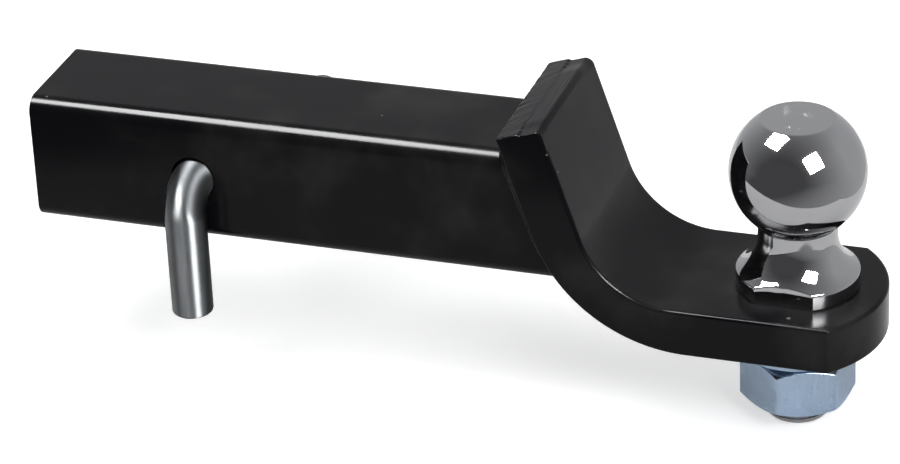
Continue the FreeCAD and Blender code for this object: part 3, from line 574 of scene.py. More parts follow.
def make_paint_group():
    """Sprayed paint: orange peel, mill streaks under it, dust, chips and small rust spots."""
    n, given = start_group("painted_steel", {"Paint": "Color", "Dust": "Color", "Rust": "Color",
                                             "Streak": "Float", "Peel": "Float"})
    place = n.place()
    peel = n.noise(place, 700, 2.0)
    lumps = n.noise(place, 90, 3.0)
    rolled = n.add("Mapping", inputs={"Vector": place, "Scale": (9, 420, 420)}).outputs[0]
    streaks = n.noise(rolled, 1.0, 3.0, 0.6)
    cloud = n.noise(place, 26, 4.0, 0.55)
    fine = n.specks(place, 300, 0.13, 0.035)
    coarse = n.specks(place, 95, 0.085, 0.03)
    rusty = n.specks(place, 60, 0.07, 0.007)
    chips = n.most(fine, coarse)
    film = n.span(cloud, 0.45, 0.8, 0.0, 0.05)
    dusty = n.most(n.most(n.times(fine, 0.55), n.times(coarse, 0.35)), film)
    body = n.blend(rusty, n.blend(dusty, given["Paint"], given["Dust"]), given["Rust"])
    rough = n.plus(n.span(cloud, 0.35, 0.7, 0.15, 0.22),
                   n.times(n.less(streaks, 0.5), n.times(given["Streak"], 0.16)))
    rough = n.plus(rough, n.times(chips, 0.4), clamp=True)
    height = n.times(n.plus(n.times(peel, 0.25), lumps), given["Peel"])
    height = n.plus(height, n.times(n.times(streaks, 0.5), given["Streak"]))
    return end_group(n, body, rough, n.plus(height, n.times(chips, 0.7)))


def make_metal_group():
    """Bright metal: drawn scratches along one way, smudges and small dark pits."""
    n, given = start_group("bright_metal", {
        "Metal": "Color", "Stain": "Color", "Grain": "Vector", "Scratch": "Float",
        "Smudge": "Float", "Pits": "Float", "Gloss": "Float"})
    place = n.place()
    drawn = n.add("VectorMath", operation="MULTIPLY", inputs={0: place, 1: given["Grain"]})
    grain = n.noise(drawn.outputs[0], 1.0, 4.0, 0.65)
    cloud = n.noise(place, 55, 4.0, 0.6, 0.6)
    pits = n.times(n.specks(place, 620, 0.22, 0.12), given["Pits"])
    smudge = n.times(n.span(cloud, 0.42, 0.75), given["Smudge"])
    scratch = n.times(n.less(grain, 0.5), given["Scratch"])
    stain = n.plus(n.times(smudge, 0.35), n.times(pits, 0.6))
    stain = n.plus(stain, n.times(scratch, 0.7), clamp=True)
    body = n.blend(stain, given["Metal"], given["Stain"])
    rough = n.plus(given["Gloss"], n.times(smudge, 0.10))
    rough = n.plus(rough, n.times(n.math("ABSOLUTE", scratch), 0.35), clamp=True)
    return end_group(n, body, rough, n.less(scratch, pits))


def coated(name, tree, sockets, strength, depth, shader):
    """A material whose colour, roughness and relief come from a group."""
    finish = bpy.data.materials.new(name)
    n = empty_nodes(finish)
    source = n.add("Group", node_tree=tree, inputs=sockets).outputs
    relief = n.add("Bump", inputs={"Height": source["Height"], "Strength": strength,
                                   "Distance": depth})
    surface = n.add("BsdfPrincipled", inputs={
        "Base Color": source["Colour"], "Roughness": source["Roughness"],
        "Normal": relief.outputs["Normal"], **shader})
    n.add("OutputMaterial", inputs={"Surface": surface.outputs[0]})
    return finish


def part_of(finish, kind):
    """The node of one type in a finish."""
    return next(node for node in finish.node_tree.nodes if node.type == kind)


def draw_along(finish, pin):
    """Draw the grain along the pin's bent axis, and paint shade into its colour: darker and rougher
    near the shank, partly wear and partly painted shade, and a painted dark reflection band down the
    leg.
    """
    n = Nodes(finish.node_tree)
    surface = part_of(finish, "BSDF_PRINCIPLED")
    steel = part_of(finish, "GROUP").outputs
    place = n.split(n.place())
    above = n.most(n.plus(place["Z"], pin.drop + pin.bend), 0.0)
    before = n.math("MINIMUM", n.plus(place["Y"], pin.leg_y - pin.bend), 0.0)
    way = n.add("CombineXYZ", inputs={"Y": n.times(above, -1.0), "Z": before}).outputs[0]
    tangent = n.add("VectorTransform", vector_type="VECTOR", convert_from="OBJECT",
                    convert_to="WORLD", inputs={0: way}).outputs[0]
    bent = n.math("DIVIDE", above, n.less(above, before))
    # Darker and rougher over the shaft and upper bend by the shank. The roughness is wear. The
    # darkening is partly wear and partly painted shade that hides a highlight.
    worn_and_shaded = n.span(n.math("MULTIPLY_ADD", place["X"], 70.0, bent), 0.38, 0.62)
    # Painted reflection: a dark band down the middle of the leg, fixed in the colour.
    painted_dark_band = n.span(n.math("ABSOLUTE", n.plus(place["X"], 0.0010)), 0.0012, 0.0036, 0.8, 0.0)
    painted_dark_band = n.times(painted_dark_band, n.span(bent, 0.02, 0.25, 1.0, 0.0))
    shade = n.most(n.times(worn_and_shaded, 0.75), painted_dark_band)
    n.feed(surface, "Anisotropic", 1.0)
    n.feed(surface, "Tangent", tangent)
    # Painted shade and reflection: both masks pull the steel's colour towards this dark grey.
    n.feed(surface, "Base Color", n.blend(shade, steel["Colour"], (0.055, 0.058, 0.062, 1)))
    n.feed(surface, "Roughness", n.math("MULTIPLY_ADD", worn_and_shaded, 0.36, steel["Roughness"]))


def mark_crown(finish, crown):
    """Small knock marks on the flat top of the ball, in a few patches clear of its rim."""
    n = Nodes(finish.node_tree)
    place = n.place()
    inside = n.span(n.apart(place, crown), 0.0100, 0.0112, 1.0, 0.0)
    patch = n.times(inside, n.span(n.noise(place, 150, 1.0), 0.56, 0.60))
    knocks = n.times(patch, n.span(n.cells(place, 850)["Distance"], 0.12, 0.38, -1.0, 0.0))
    dents = n.add("Bump", inputs={"Height": knocks, "Strength": 1.0, "Distance": 0.00022,
                                  "Normal": part_of(finish, "BUMP").outputs["Normal"]})
    n.feed(part_of(finish, "BSDF_PRINCIPLED"), "Normal", dents.outputs["Normal"])


def make_finishes(sizes):
    """All finishes of the ball mount, by name."""
    finish, ball = sizes.finish, sizes.ball
    paint, metal = make_paint_group(), make_metal_group()
    made = {}
    coat = {"Paint": opaque(finish.paint), "Dust": opaque(finish.dust), "Rust": opaque(finish.rust)}
    for name, streak, peel, bump in (
            ("shank_paint", 1.0, 0.6, 0.10), ("plate_paint", 0.35, 0.8, 0.10),
            ("weld_paint", 0.0, 1.4, 0.14)):
        made[name] = coated(name, paint, {**coat, "Streak": streak, "Peel": peel}, bump, 0.0004,
                            {"Specular IOR Level": 0.13, "IOR": 1.45})
    # The marks are scratches, smudges, pits and gloss
    for name, tint, stain, grain, marks, bump, depth in (
            ("ball_chrome", finish.chrome, (0.40, 0.40, 0.41), (40, 40, 900),
             (0.05, 0.35, 0.10, 0.035), 0.05, 0.0001),
            ("nut_zinc", finish.zinc, (0.20, 0.25, 0.33), (500, 500, 60),
             (0.35, 0.9, 0.5, 0.24), 0.12, 0.0002),
            ("pin_steel", finish.steel, (0.10, 0.10, 0.105), (900, 160, 160),
             (0.55, 0.7, 1.0, 0.355), 0.18, 0.0002),
            ("clip_steel", finish.steel, (0.16, 0.16, 0.17), (400, 400, 400),
             (0.3, 0.6, 0.4, 0.20), 0.12, 0.0002)):
        sockets = {"Metal": opaque(tint), "Stain": opaque(stain), "Grain": grain}
        sockets.update(zip(("Scratch", "Smudge", "Pits", "Gloss"), marks))
        made[name] = coated(name, metal, sockets, bump, depth, {"Metallic": 1.0})
    draw_along(made["pin_steel"], sizes.pin)
    mark_crown(made["ball_chrome"], (ball.x, 0, ball.height - sizes.plate.drop
                                     + math.sqrt(ball.dia ** 2 - ball.flat ** 2) / 2))
    return made


FINISHES = {}


def finish_of(name):
    """A finish by name, made when the first piece asks for one."""
    if not FINISHES:
        FINISHES.update(make_finishes(bpy.context.scene.ball_mount))
    return FINISHES[name]


# Pieces, with the small roundings of their edges

BALL_EDGE, CLIP_END = 0.00022, 0.0007
WASHER_EDGE, NUT_EDGE, NUT_CORNER = 0.0004, 0.00025, 0.0006


def square_bar(x, half, corner, steps, run):
    """A square bar with rounded corners, along X."""
    deselect()
    bpy.ops.mesh.primitive_plane_add(size=2 * half, location=(x, 0, 0),
                                     rotation=(0, math.radians(90), 0))
    edit(new_piece())
    bpy.ops.mesh.bevel(offset=corner, offset_type="OFFSET", segments=steps, affect="VERTICES")
    bpy.ops.mesh.select_all(action="SELECT")
    extrude(AXIS_X * run)
    outward()
    return close()


def cope_tool(plate):
    """A cutter that takes away all of the shank that would stand inside the plate."""
    lines = plate_lines(plate)
    high = side = plate.width
    aside = Vector((0, -side, 0))
    start = Vector((plate_back_x(plate, lines, high), -side, high))
    trace(start, AXIS_Y, [
        lines["back_foot"] + aside,
        (lines["outer"] + aside, -(math.pi / 2 - plate.lean), 48),
        (plate.reach, -side, lines["bottom"]),
        (plate.reach, -side, high),
        start])
    return fill_outline(AXIS_Y * 2 * side)


class BALLMOUNT_OT_shank(bpy.types.Operator):
    """Model the square receiver tube with its pin hole and coped end"""
    bl_idname = "ball_mount.shank"
    bl_label = "Shank"

    def execute(self, context):
        sizes = context.scene.ball_mount
        shank, plate = sizes.shank, sizes.plate
        low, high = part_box("shank_tube")
        run = high.x + shank.wall - low.x
        half = shank.width / 2
        tube = square_bar(low.x, half, shank.corner, shank.corner_steps, run)
        hollow = square_bar(low.x - shank.wall, half - shank.wall, shank.inner_corner,
                            shank.corner_steps, run + 2 * shank.wall)
        hole = drill((0, 0, 0), AXIS_Y, shank.hole / 2, 2 * shank.width)
        for tool in (hollow, cope_tool(plate), hole):
            combine(tube, tool, "DIFFERENCE")
        soften(tube, shank.edge, 3)
        flatten_shading(tube)
        keep(tube, "shank", "shank_paint", "ball_mount", "shank_tube")
        return {"FINISHED"}


def smooth(value, low, high):
    """0 below low, 1 above high and a smooth slope between."""
    share = min(1.0, max(0.0, (value - low) / (high - low)))
    return share * share * (3 - 2 * share)


def rounded_off(inset, radius):
    """How far an edge of that radius has fallen at a distance inside it."""
    share = min(1.0, max(0.0, (radius - inset) / radius))
    return radius * (1 - math.sqrt(1 - share * share))


def uneven(x, y, z):
    """Noise at a place."""
    return noise.noise(Vector((x, y, z)))


def shear_height(plate, deep, wide):
    """Relief of the sheared end, at a depth from the back and a place across the width."""
    tear_end = plate.thick * 0.47
    wander = 0.0010 * uneven(wide * 150, 3.1, 0) + 0.0004 * uneven(wide * 520, 8.7, 0)
    torn = 1 - smooth(deep + wander, tear_end, tear_end + 0.0011)
    step = plate.shear_step * (0.12 + 0.88 * smooth(wide, 0.019, 0.029)
                               + 0.4 * smooth(-wide, 0.022, 0.029))
    height = -step * (1 - torn)
    # Drag marks run slantwise over the torn part, fine lines along the burnished part
    across = 0.65 * deep - 0.76 * wide
    drag = uneven(across * 720, deep * 70, 1.7)
    height -= 0.00026 * max(0.0, 1 - deep / 0.0048) * max(0.0, drag + 0.2)
    height += 0.00006 * torn * uneven(across * 330, wide * 120, 5.0)
    height += 0.00007 * (1 - torn) * uneven(wide * 60, deep * 900, 9.0)
    # The near back corner is worn the most
    half = plate.width / 2
    corner = 0.0005 + 0.0009 * max(0.0, 1 - deep / 0.007) * smooth(-wide, 0, half)
    height -= rounded_off(half - abs(wide), corner)
    height -= rounded_off(deep, 0.0004)
    return height


def spread(low, high, step, edge_step):
    """Places from low to high, closer together near both ends."""
    close_by = 12
    near = [low + edge_step * k for k in range(close_by)]
    far = [high - edge_step * k for k in reversed(range(close_by))]
    count = round((far[0] - near[-1]) / step)
    return near + [near[-1] + (far[0] - near[-1]) * k / count for k in range(1, count)] + far


def shear_tool(plate, lines):
    """A block whose lower face is the torn and burnished end that a shear leaves."""
    margin, clearance, tool_height = 0.004, 0.00003, 0.03
    fine_step, arc_steps = 0.00010, 24
    half = plate.width / 2
    reach = plate.thick + clearance
    round_start = reach - plate.rollover
    depths = [(-margin, 0.0)] + [(deep, 0.0) for deep in spread(0, round_start, 0.00035, fine_step)]
    for k in range(1, arc_steps + 1):
        angle = math.radians(90 * k / arc_steps)
        depths.append((reach - plate.rollover * (1 - math.sin(angle)),
                       -plate.rollover_drop * (1 - math.cos(angle))))
    depths.append((plate.thick + margin, -plate.rollover_drop))
    widths = [-half - margin] + spread(-half, half, 0.00032, fine_step) + [half + margin]
    rows, columns = len(depths) - 1, len(widths) - 1
    deselect()
    bpy.ops.mesh.primitive_grid_add(x_subdivisions=rows, y_subdivisions=columns, size=1)
    item = new_piece()
    for vert in item.data.vertices:
        deep, sunk = depths[round((vert.co.x + 0.5) * rows)]
        wide = widths[round((vert.co.y + 0.5) * columns)]
        held = min(half, max(-half, wide))
        # The rounding grows towards the far corner
        swell = 1 + 0.7 * smooth(held, 0.014, half)
        if 0 < deep <= round_start:
            deep *= (reach - plate.rollover * swell) / round_start
        elif round_start < deep < reach:
            deep = reach - (reach - deep) * swell
        inside = min(plate.thick, max(0.0, deep))
        vert.co = (lines["back_top"] + lines["normal"] * deep + AXIS_Y * wide
                   + lines["along"] * (sunk * swell + shear_height(plate, inside, held)))
    edit(item)
    extrude(lines["along"] * tool_height)
    outward()
    return close()


def nose_tool(plate):
    """A cutter that leaves the plate's end round in plan."""
    centre = Vector((plate.reach - plate.nose, 0, plate.width))
    side = plate.width * 0.55
    far = plate.reach + 0.02
    start = centre + Vector((math.sqrt(plate.nose ** 2 - side ** 2), -side, 0))
    trace(start, AXIS_Z, [
        (centre, 2 * math.asin(side / plate.nose), 72),
        (far, side, centre.z),
        (far, -side, centre.z),
        start])
    return fill_outline(AXIS_Z * -4 * plate.width)


class BALLMOUNT_OT_plate(bpy.types.Operator):
    """Model the bent draw plate with its rolled edges, round nose and sheared end"""
    bl_idname = "ball_mount.plate"
    bl_label = "Draw plate"

    def execute(self, context):
        sizes = context.scene.ball_mount
        plate = sizes.plate
        lines = plate_lines(plate)
        half = plate.width / 2
        side = Vector((0, -half, 0))
        spare = 0.008
        upward = lines["along"] * spare
        bend, bend_steps = math.pi / 2 - plate.lean, 40
        start = Vector((plate.bend_x, 0, lines["top"])) + side
        trace(start, AXIS_Y, [
            (plate.reach, -half, lines["top"]),
            (plate.reach, -half, lines["bottom"]),
            lines["outer"] + side - AXIS_Z * plate.bend_outside,
            (lines["outer"] + side, bend, bend_steps),
            lines["back_top"] + side + upward,
            lines["front_top"] + side + upward,
            lines["front_foot"] + side,
            (lines["inner"] + side, -bend, bend_steps)])
        bar = fill_outline(AXIS_Y * plate.width)
        combine(bar, nose_tool(plate), "DIFFERENCE")

        def rolled(edge, facing):
            """Whether an edge lies on the bar's upper side, or with -1 on its lower side."""
            middle = (edge.verts[0].co + edge.verts[1].co) / 2
            return (edge.calc_face_angle() > math.radians(70)
                    and lines["along"].dot(middle - lines["front_top"]) < spare / 2
                    and any(face.normal.z * facing > 0.25 for face in edge.link_faces))

        edit(bar)
        for facing, width, steps in ((1, plate.edge, 8), (-1, plate.lower_edge, 4)):
            pick("EDGE", lambda edge: rolled(edge, facing))
            bpy.ops.mesh.bevel(offset=width, segments=steps, affect="EDGES")
        close()
        hole = drill((sizes.ball.x, 0, lines["top"]), AXIS_Z, plate.hole / 2, 4 * plate.thick)
        for tool in (hole, shear_tool(plate, lines)):
            combine(bar, tool, "DIFFERENCE")
        flatten_shading(bar)
        keep(bar, "draw_bar", "plate_paint", "ball_mount", "draw_plate")
        return {"FINISHED"}


def bead_path(sizes):
    """Places along the joint of shank and plate: (distance, point, tube's outward way)."""
    shank, plate, weld = sizes.shank, sizes.plate, sizes.weld
    lines = plate_lines(plate)
    half = shank.width / 2
    flat = half - shank.corner
    leg = [(-half, -weld.stop + (flat + weld.stop) * k / 60, 180) for k in range(60)]
    turn_in = [(-flat - shank.corner * math.cos(math.radians(a)),
                flat + shank.corner * math.sin(math.radians(a)), 180 - a) for a in range(0, 90, 6)]
    top = [(-flat + 2 * flat * k / 40, half, 90) for k in range(21)]
    first = leg + turn_in + top
    outline = first + [(-y, z, 180 - a) for y, z, a in reversed(first[:-1])]
    path = []
    travelled = 0.0
    for y, z, degrees in outline:
        angle = math.radians(degrees)
        point = Vector((plate_back_x(plate, lines, z), y, z))
        if path:
            travelled += (point - path[-1][1]).length
        path.append((travelled, point, Vector((0, math.cos(angle), math.sin(angle)))))
    return path


def bead_point(sizes, lines, path, travelled, round_way):
    """A point of the bead's skin: along the joint, and round the bead's section from 0 to 1."""
    weld = sizes.weld
    total = path[-1][0]
    index = max(i for i, row in enumerate(path) if row[0] <= travelled + 1e-9)
    index = min(index, len(path) - 2)
    low, high = path[index], path[index + 1]
    share = (travelled - low[0]) / (high[0] - low[0])
    point = low[1].lerp(high[1], share)
    out = low[2].lerp(high[2], share).normalized()
    climb = AXIS_Y * out.y + lines["along"] * out.z
    # The bead thins out in its last millimetres, and grows towards the top of the shank
    end = min(travelled, total - travelled)
    taper = min(1.0, math.sqrt(max(0.0, end) / 0.0032 + 0.02))
    rise = min(1.0, end / 0.045)
    leg = (weld.foot + (weld.leg - weld.foot) * rise) * (0.55 + 0.45 * taper)
    # The ripples are crescents, a little uneven
    crescent = 0.0011 * (1 - (2 * round_way - 1) ** 2)
    wander = 0.0006 * uneven(travelled * 160, 0.5, 2.0)
    phase = ((travelled + crescent + wander) / weld.pitch) % 1.0
    ridge = math.sqrt(max(0.0, 1 - (2 * phase - 1) ** 2)) - 0.6
    swell = 1 + 0.05 * uneven(travelled * 90, round_way * 2, 7.0)
    angle = round_way * math.pi / 2
    radius = leg * swell * (0.80 + 0.20 * abs(math.cos(2 * angle))) + weld.ripple * ridge
    return point + climb * (radius * math.cos(angle)) - AXIS_X * (radius * math.sin(angle))


class BALLMOUNT_OT_weld(bpy.types.Operator):
    """Lay the rippled weld bead over the shank's top and down both of its sides"""
    bl_idname = "ball_mount.weld"
    bl_label = "Weld bead"

    def execute(self, context):
        sizes = context.scene.ball_mount
        lines = plate_lines(sizes.plate)
        path = bead_path(sizes)
        rows, columns = 560, 18
        last = columns + 2
        sunk = 0.0012
        deselect()
        bpy.ops.mesh.primitive_grid_add(x_subdivisions=rows, y_subdivisions=last, size=1)
        item = new_piece()
        for vert in item.data.vertices:
            travelled = (vert.co.x + 0.5) * path[-1][0]
            column = round((vert.co.y + 0.5) * last)
            if 0 < column < last:
                vert.co = bead_point(sizes, lines, path, travelled, (column - 1) / columns)
            else:
                heel, toe, base = (bead_point(sizes, lines, path, travelled, way)
                                   for way in (0, 1, 0.5))
                corner = heel + toe - base
                vert.co = corner + (corner - base).normalized() * sunk
        edit(item)
        outward()
        close()
        cap(item)
        make_active(item)
        bpy.ops.object.shade_smooth()
        keep(item, "weld", "weld_paint", "ball_mount", "weld_bead")
        return {"FINISHED"}


def section_over(foot):
    """A function for the points of a turned piece: radius, and height over its foot."""
    return lambda r, z: foot + Vector((r, 0, z))


class BALLMOUNT_OT_ball(bpy.types.Operator):
    """Turn the hitch ball with its neck, flange and stud, mill its flats and cut its thread"""
    bl_idname = "ball_mount.ball"
    bl_label = "Hitch ball"

    def execute(self, context):
        sizes = context.scene.ball_mount
        ball, plate = sizes.ball, sizes.plate
        foot = Vector((ball.x, 0, -plate.drop))
        at = section_over(foot)
        radius, flat, neck, flange = ball.dia / 2, ball.flat / 2, ball.neck / 2, ball.flange / 2
        root, tip = ball.stud / 2 - ball.thread, -ball.stud_length
        crown = ball.height + math.sqrt(radius ** 2 - flat ** 2)
        fillet = neck + ball.neck_fillet
        fillet_z = ball.height - math.sqrt((radius + ball.neck_fillet) ** 2 - fillet ** 2)
        low_angle = math.atan2(fillet_z - ball.height, fillet)
        high_angle = math.atan2(crown - ball.height, flat)
        bell = math.acos((neck + ball.flare - flange) / ball.flare)
        rim_z = ball.flare_height - ball.flare * math.sin(bell)
        tip_bevel, rim_round = 0.0008, 0.0007
        trace(at(0, tip), AXIS_Y, [
            at(root - tip_bevel, tip), at(root, tip + tip_bevel), at(root, 0),
            at(flange - rim_round, 0), at(flange, rim_round), at(flange, rim_z),
            (at(neck + ball.flare, ball.flare_height), bell, 40),
            at(neck, fillet_z),
            (at(fillet, fillet_z), -low_angle, 10),
            (at(0, ball.height), low_angle - high_angle, 110),
            at(0, crown)])
        rims = at(flat, crown), at(flange, rim_z)
        pick("VERT", lambda vert: any((vert.co - rim).length < SAME_PLACE for rim in rims))
        bpy.ops.mesh.bevel(offset=rim_round, segments=6, affect="VERTICES")
        item = lathe(foot, 176)
        mill_run, mill_depth, spare = 0.08, 0.04, 0.001
        for sign in (-1, 1):
            away = Vector((0, sign * (ball.flats / 2 + mill_depth / 2), 0))
            away.rotate(Matrix.Rotation(ball.flats_turn, 3, "Z"))
            cutter = block(foot + away + AXIS_Z * (ball.flare_height / 2 - spare),
                           (mill_run, mill_depth, ball.flare_height + 2 * spare),
                           (0, 0, ball.flats_turn))
            combine(item, cutter, "DIFFERENCE")
        soften(item, BALL_EDGE, 2, 28)
        smooth_shading(item, 32)
        keep(item, "ball", "ball_chrome", "ball_mount", "hitch_ball")

        turns = int((ball.stud_length - plate.thick) / ball.pitch) - 1
        ridge, crest = ball.pitch * 0.46, ball.pitch * 0.06
        bottom = tip + ball.pitch * 0.62
        inside, outside = root - 0.0005, ball.stud / 2
        trace(at(inside, bottom - ridge), AXIS_Y, [
            at(root, bottom - ridge), at(outside, bottom - crest), at(outside, bottom + crest),
            at(root, bottom + ridge), at(inside, bottom + ridge), at(inside, bottom - ridge)])
        outward()
        thread = close()
        thread.data.transform(Matrix.Translation(-foot))
        modify(thread, "SCREW", axis="Z", angle=math.tau, steps=72, render_steps=72,
               iterations=turns, screw_offset=ball.pitch, use_merge_vertices=True,
               merge_threshold=SAME_PLACE)
        thread.data.transform(Matrix.Translation(foot))
        cap(thread)
        smooth_shading(thread, 30)
        keep(thread, "stud_thread", "ball_chrome", "ball_mount")
        return {"FINISHED"}


class BALLMOUNT_OT_fixings(bpy.types.Operator):
    """Model the split lock washer and the bevelled hexagon nut under the plate"""
    bl_idname = "ball_mount.fixings"
    bl_label = "Washer and nut"

    def execute(self, context):
        sizes = context.scene.ball_mount
        ball, plate, fixing = sizes.ball, sizes.plate, sizes.fixing
        foot = Vector((ball.x, 0, -plate.drop - plate.thick))
        at = section_over(foot)
        bore, rim, thick = fixing.washer_bore / 2, fixing.washer / 2, fixing.washer_thick
        ground, rise = fixing.washer_ground, fixing.washer_rise
        gap = 2 * fixing.washer_slit / (bore + rim)
        low = ground - thick
        trace((bore, 0, low), AXIS_Y, [(rim, 0, low), (rim, 0, ground), (bore, 0, ground),
                                       (bore, 0, low)])
        outward()
        washer = close()
        modify(washer, "SCREW", axis="Z", angle=-(math.tau - gap), steps=120, render_steps=120,
               screw_offset=-rise)
        cap(washer)
        seat = 2 * ground - thick - rise
        all_round = 0.06
        combine(washer, block((0, 0, seat / 2), (all_round, all_round, -seat)), "INTERSECT")
        turned = Matrix.Rotation(fixing.washer_turn, 4, "Z")
        washer.data.transform(Matrix.Translation(foot) @ turned)
        soften(washer, WASHER_EDGE, 3)
        flatten_shading(washer)
        keep(washer, "washer", "nut_zinc", "ball_mount", "lock_washer")

        height = fixing.nut_height
        base = seat - height
        corner = fixing.nut / math.sqrt(3)
        face, wide = fixing.nut_face / 2, corner + 0.002
        fall = (wide - face) * math.tan(fixing.nut_bevel)
        deselect()
        bpy.ops.mesh.primitive_cylinder_add(vertices=6, radius=corner, depth=height,
                                            location=at(0, seat - height / 2),
                                            rotation=(0, 0, fixing.nut_turn - math.radians(30)))
        nut = new_piece()
        edit(nut)
        pick("EDGE", lambda edge: abs(edge.verts[0].co.z - edge.verts[1].co.z) > height / 2)
        bpy.ops.mesh.bevel(offset=NUT_CORNER, segments=4, affect="EDGES")
        close()
        trace(at(0, base), AXIS_Y, [at(face, base), at(wide, base + fall), at(wide, seat - fall),
                                    at(face, seat), at(0, seat)])
        combine(nut, lathe(foot, 144), "INTERSECT")
        bore, mouth, reach = fixing.nut_bore / 2, 0.0011, 0.004
        trace(at(0, base - reach), AXIS_Y, [
            at(bore + mouth + reach, base - reach), at(bore, base + mouth), at(bore, seat - mouth),
            at(bore + mouth + reach, seat + reach), at(0, seat + reach)])
        combine(nut, lathe(foot, 144), "DIFFERENCE")
        # Slivers that the cuts leave would stop the rounding
        sliver = 0.00006
        edit(nut)
        bpy.ops.mesh.dissolve_degenerate(threshold=sliver)
        outward()
        close()
        soften(nut, NUT_EDGE, 3, 24)
        flatten_shading(nut, 35)
        keep(nut, "nut", "nut_zinc", "ball_mount", "ball_nut")
        return {"FINISHED"}


class BALLMOUNT_OT_pin(bpy.types.Operator):
    """Bend the hitch pin, bevel its ends and drill it for the clip"""
    bl_idname = "ball_mount.pin"
    bl_label = "Hitch pin"

    def execute(self, context):
        pin = context.scene.ball_mount.pin
        z = -pin.drop
        tip = z - pin.leg_z
        bend_y = -pin.leg_y + pin.bend
        item = bend_bar((0, pin.far, z), -AXIS_Y, pin.dia / 2, 72, [
            pin.far - bend_y,
            ((0, bend_y, z - pin.bend), AXIS_X, math.pi / 2, 28),
            pin.leg_z - pin.bend])
        edit(item)
        pick("EDGE", lambda edge: all(abs(v.co.y - pin.far) < SAME_PLACE for v in edge.verts)
             or all(abs(v.co.z - tip) < SAME_PLACE for v in edge.verts))
        bpy.ops.mesh.bevel(offset=pin.bevel, segments=3, affect="EDGES")
        close()
        tilt = Vector((math.cos(pin.clip_tilt), 0, math.sin(pin.clip_tilt)))
        hole = drill((0, pin.clip_y, z), tilt, pin.clip_hole / 2, 3 * pin.dia, 48)
        combine(item, hole, "DIFFERENCE")
        flatten_shading(item, 35)
        keep(item, "pin", "pin_steel", "pin", "hitch_pin")
        return {"FINISHED"}


class BALLMOUNT_OT_clip(bpy.types.Operator):
    """Bend the spring clip from one length of wire"""
    bl_idname = "ball_mount.clip"
    bl_label = "Pin clip"

    def execute(self, context):
        pin = context.scene.ball_mount.pin
        tilt = Matrix.Rotation(-pin.clip_tilt, 3, "Y")
        home = Vector((0, pin.clip_y, -pin.drop))

        def at(x, z):
            return home + tilt @ Vector((x, 0, z))

        bow = pin.dia / 2 + pin.wire / 2 + pin.gap
        slope = pin.neck_angle
        waist_x = (bow + pin.waist) * math.cos(pin.waist_angle)
        waist_z = -(bow + pin.waist) * math.sin(pin.waist_angle)
        waist_top_x = waist_x + pin.waist * math.cos(slope)
        waist_top_z = waist_z + pin.waist * math.sin(slope)
        loop_foot_z = -pin.loop - pin.loop * math.sin(slope)
        loop_foot_x = waist_top_x + (waist_top_z - loop_foot_z) / math.tan(slope)
        loop_x = loop_foot_x + pin.loop * math.cos(slope)
        neck = math.hypot(loop_foot_x - waist_top_x, loop_foot_z - waist_top_z)
        right_angle = math.pi / 2
        item = bend_bar(at(-pin.tip, 0), tilt @ AXIS_X, pin.wire / 2, 28, [
            pin.tip + loop_x,
            (at(loop_x, -pin.loop), AXIS_Y, 3 * right_angle - slope, 44),
            neck,
            (at(waist_x, waist_z), -AXIS_Y, math.pi - pin.waist_angle - slope, 22),
            (at(0, 0), AXIS_Y, right_angle - pin.waist_angle, 16),
            pin.tail,
            (at(-pin.tail, -bow - pin.waist), -AXIS_Y, pin.flare, 12),
            pin.tail])
        edit(item)
        pick("EDGE", lambda edge: any(len(face.verts) > 4 for face in edge.link_faces))
        bpy.ops.mesh.bevel(offset=CLIP_END, segments=4, affect="EDGES")
        close()
        smooth_shading(item, 40)
        keep(item, "clip", "clip_steel", "clip", "pin_clip")
        return {"FINISHED"}


# Stage

FLOOR_RADIUS, FLOOR_GAP = 9, 0.0005
DISC_CENTRE, DISC_RADIUS, DISC_CUT, DISC_BLUR = (0.057, 0.221), 0.430, 0.405, 0.003
STUDIO_TINT = (0.97, 0.98, 1.0, 1)
WHITE = (1, 1, 1, 1)
# Name, way from the ball, way of one edge, and the power that lights and that shows in gloss
SOFTBOXES = (("overhead_box", (-0.476, -0.191, 0.859), (0.658, -0.726, 0.203), 9, 80),
             ("front_box", (0.578, -0.568, 0.586), (0.574, -0.228, -0.787), 7, 70))
# Distance and width of a lamp that lights, and of one that shows in gloss
LIGHT, GLARE = (1.30, 0.62), (1.26, 0.60)
CAMERA_PLACE = (0.536281, -1.231341, 0.679831)
CAMERA_DEGREES = (19.796, 28.272, -2.68)
FOCAL_PIXELS, PICTURE_PIXELS, SENSOR = 3916.779, 900, 36


def studio_level(n, way):
    """Brightness of the dim studio round the white disc, by the way one looks."""
    part = n.split(way)
    behind = n.plus(n.times(part["Y"], 0.95), n.times(part["X"], 0.25))
    wall = n.span(behind, -0.75, 0.5, 0.11, 0.62, "LINEAR")
    return n.times(wall, n.span(part["Z"], 0.4, 1.0, 1.0, 0.75))


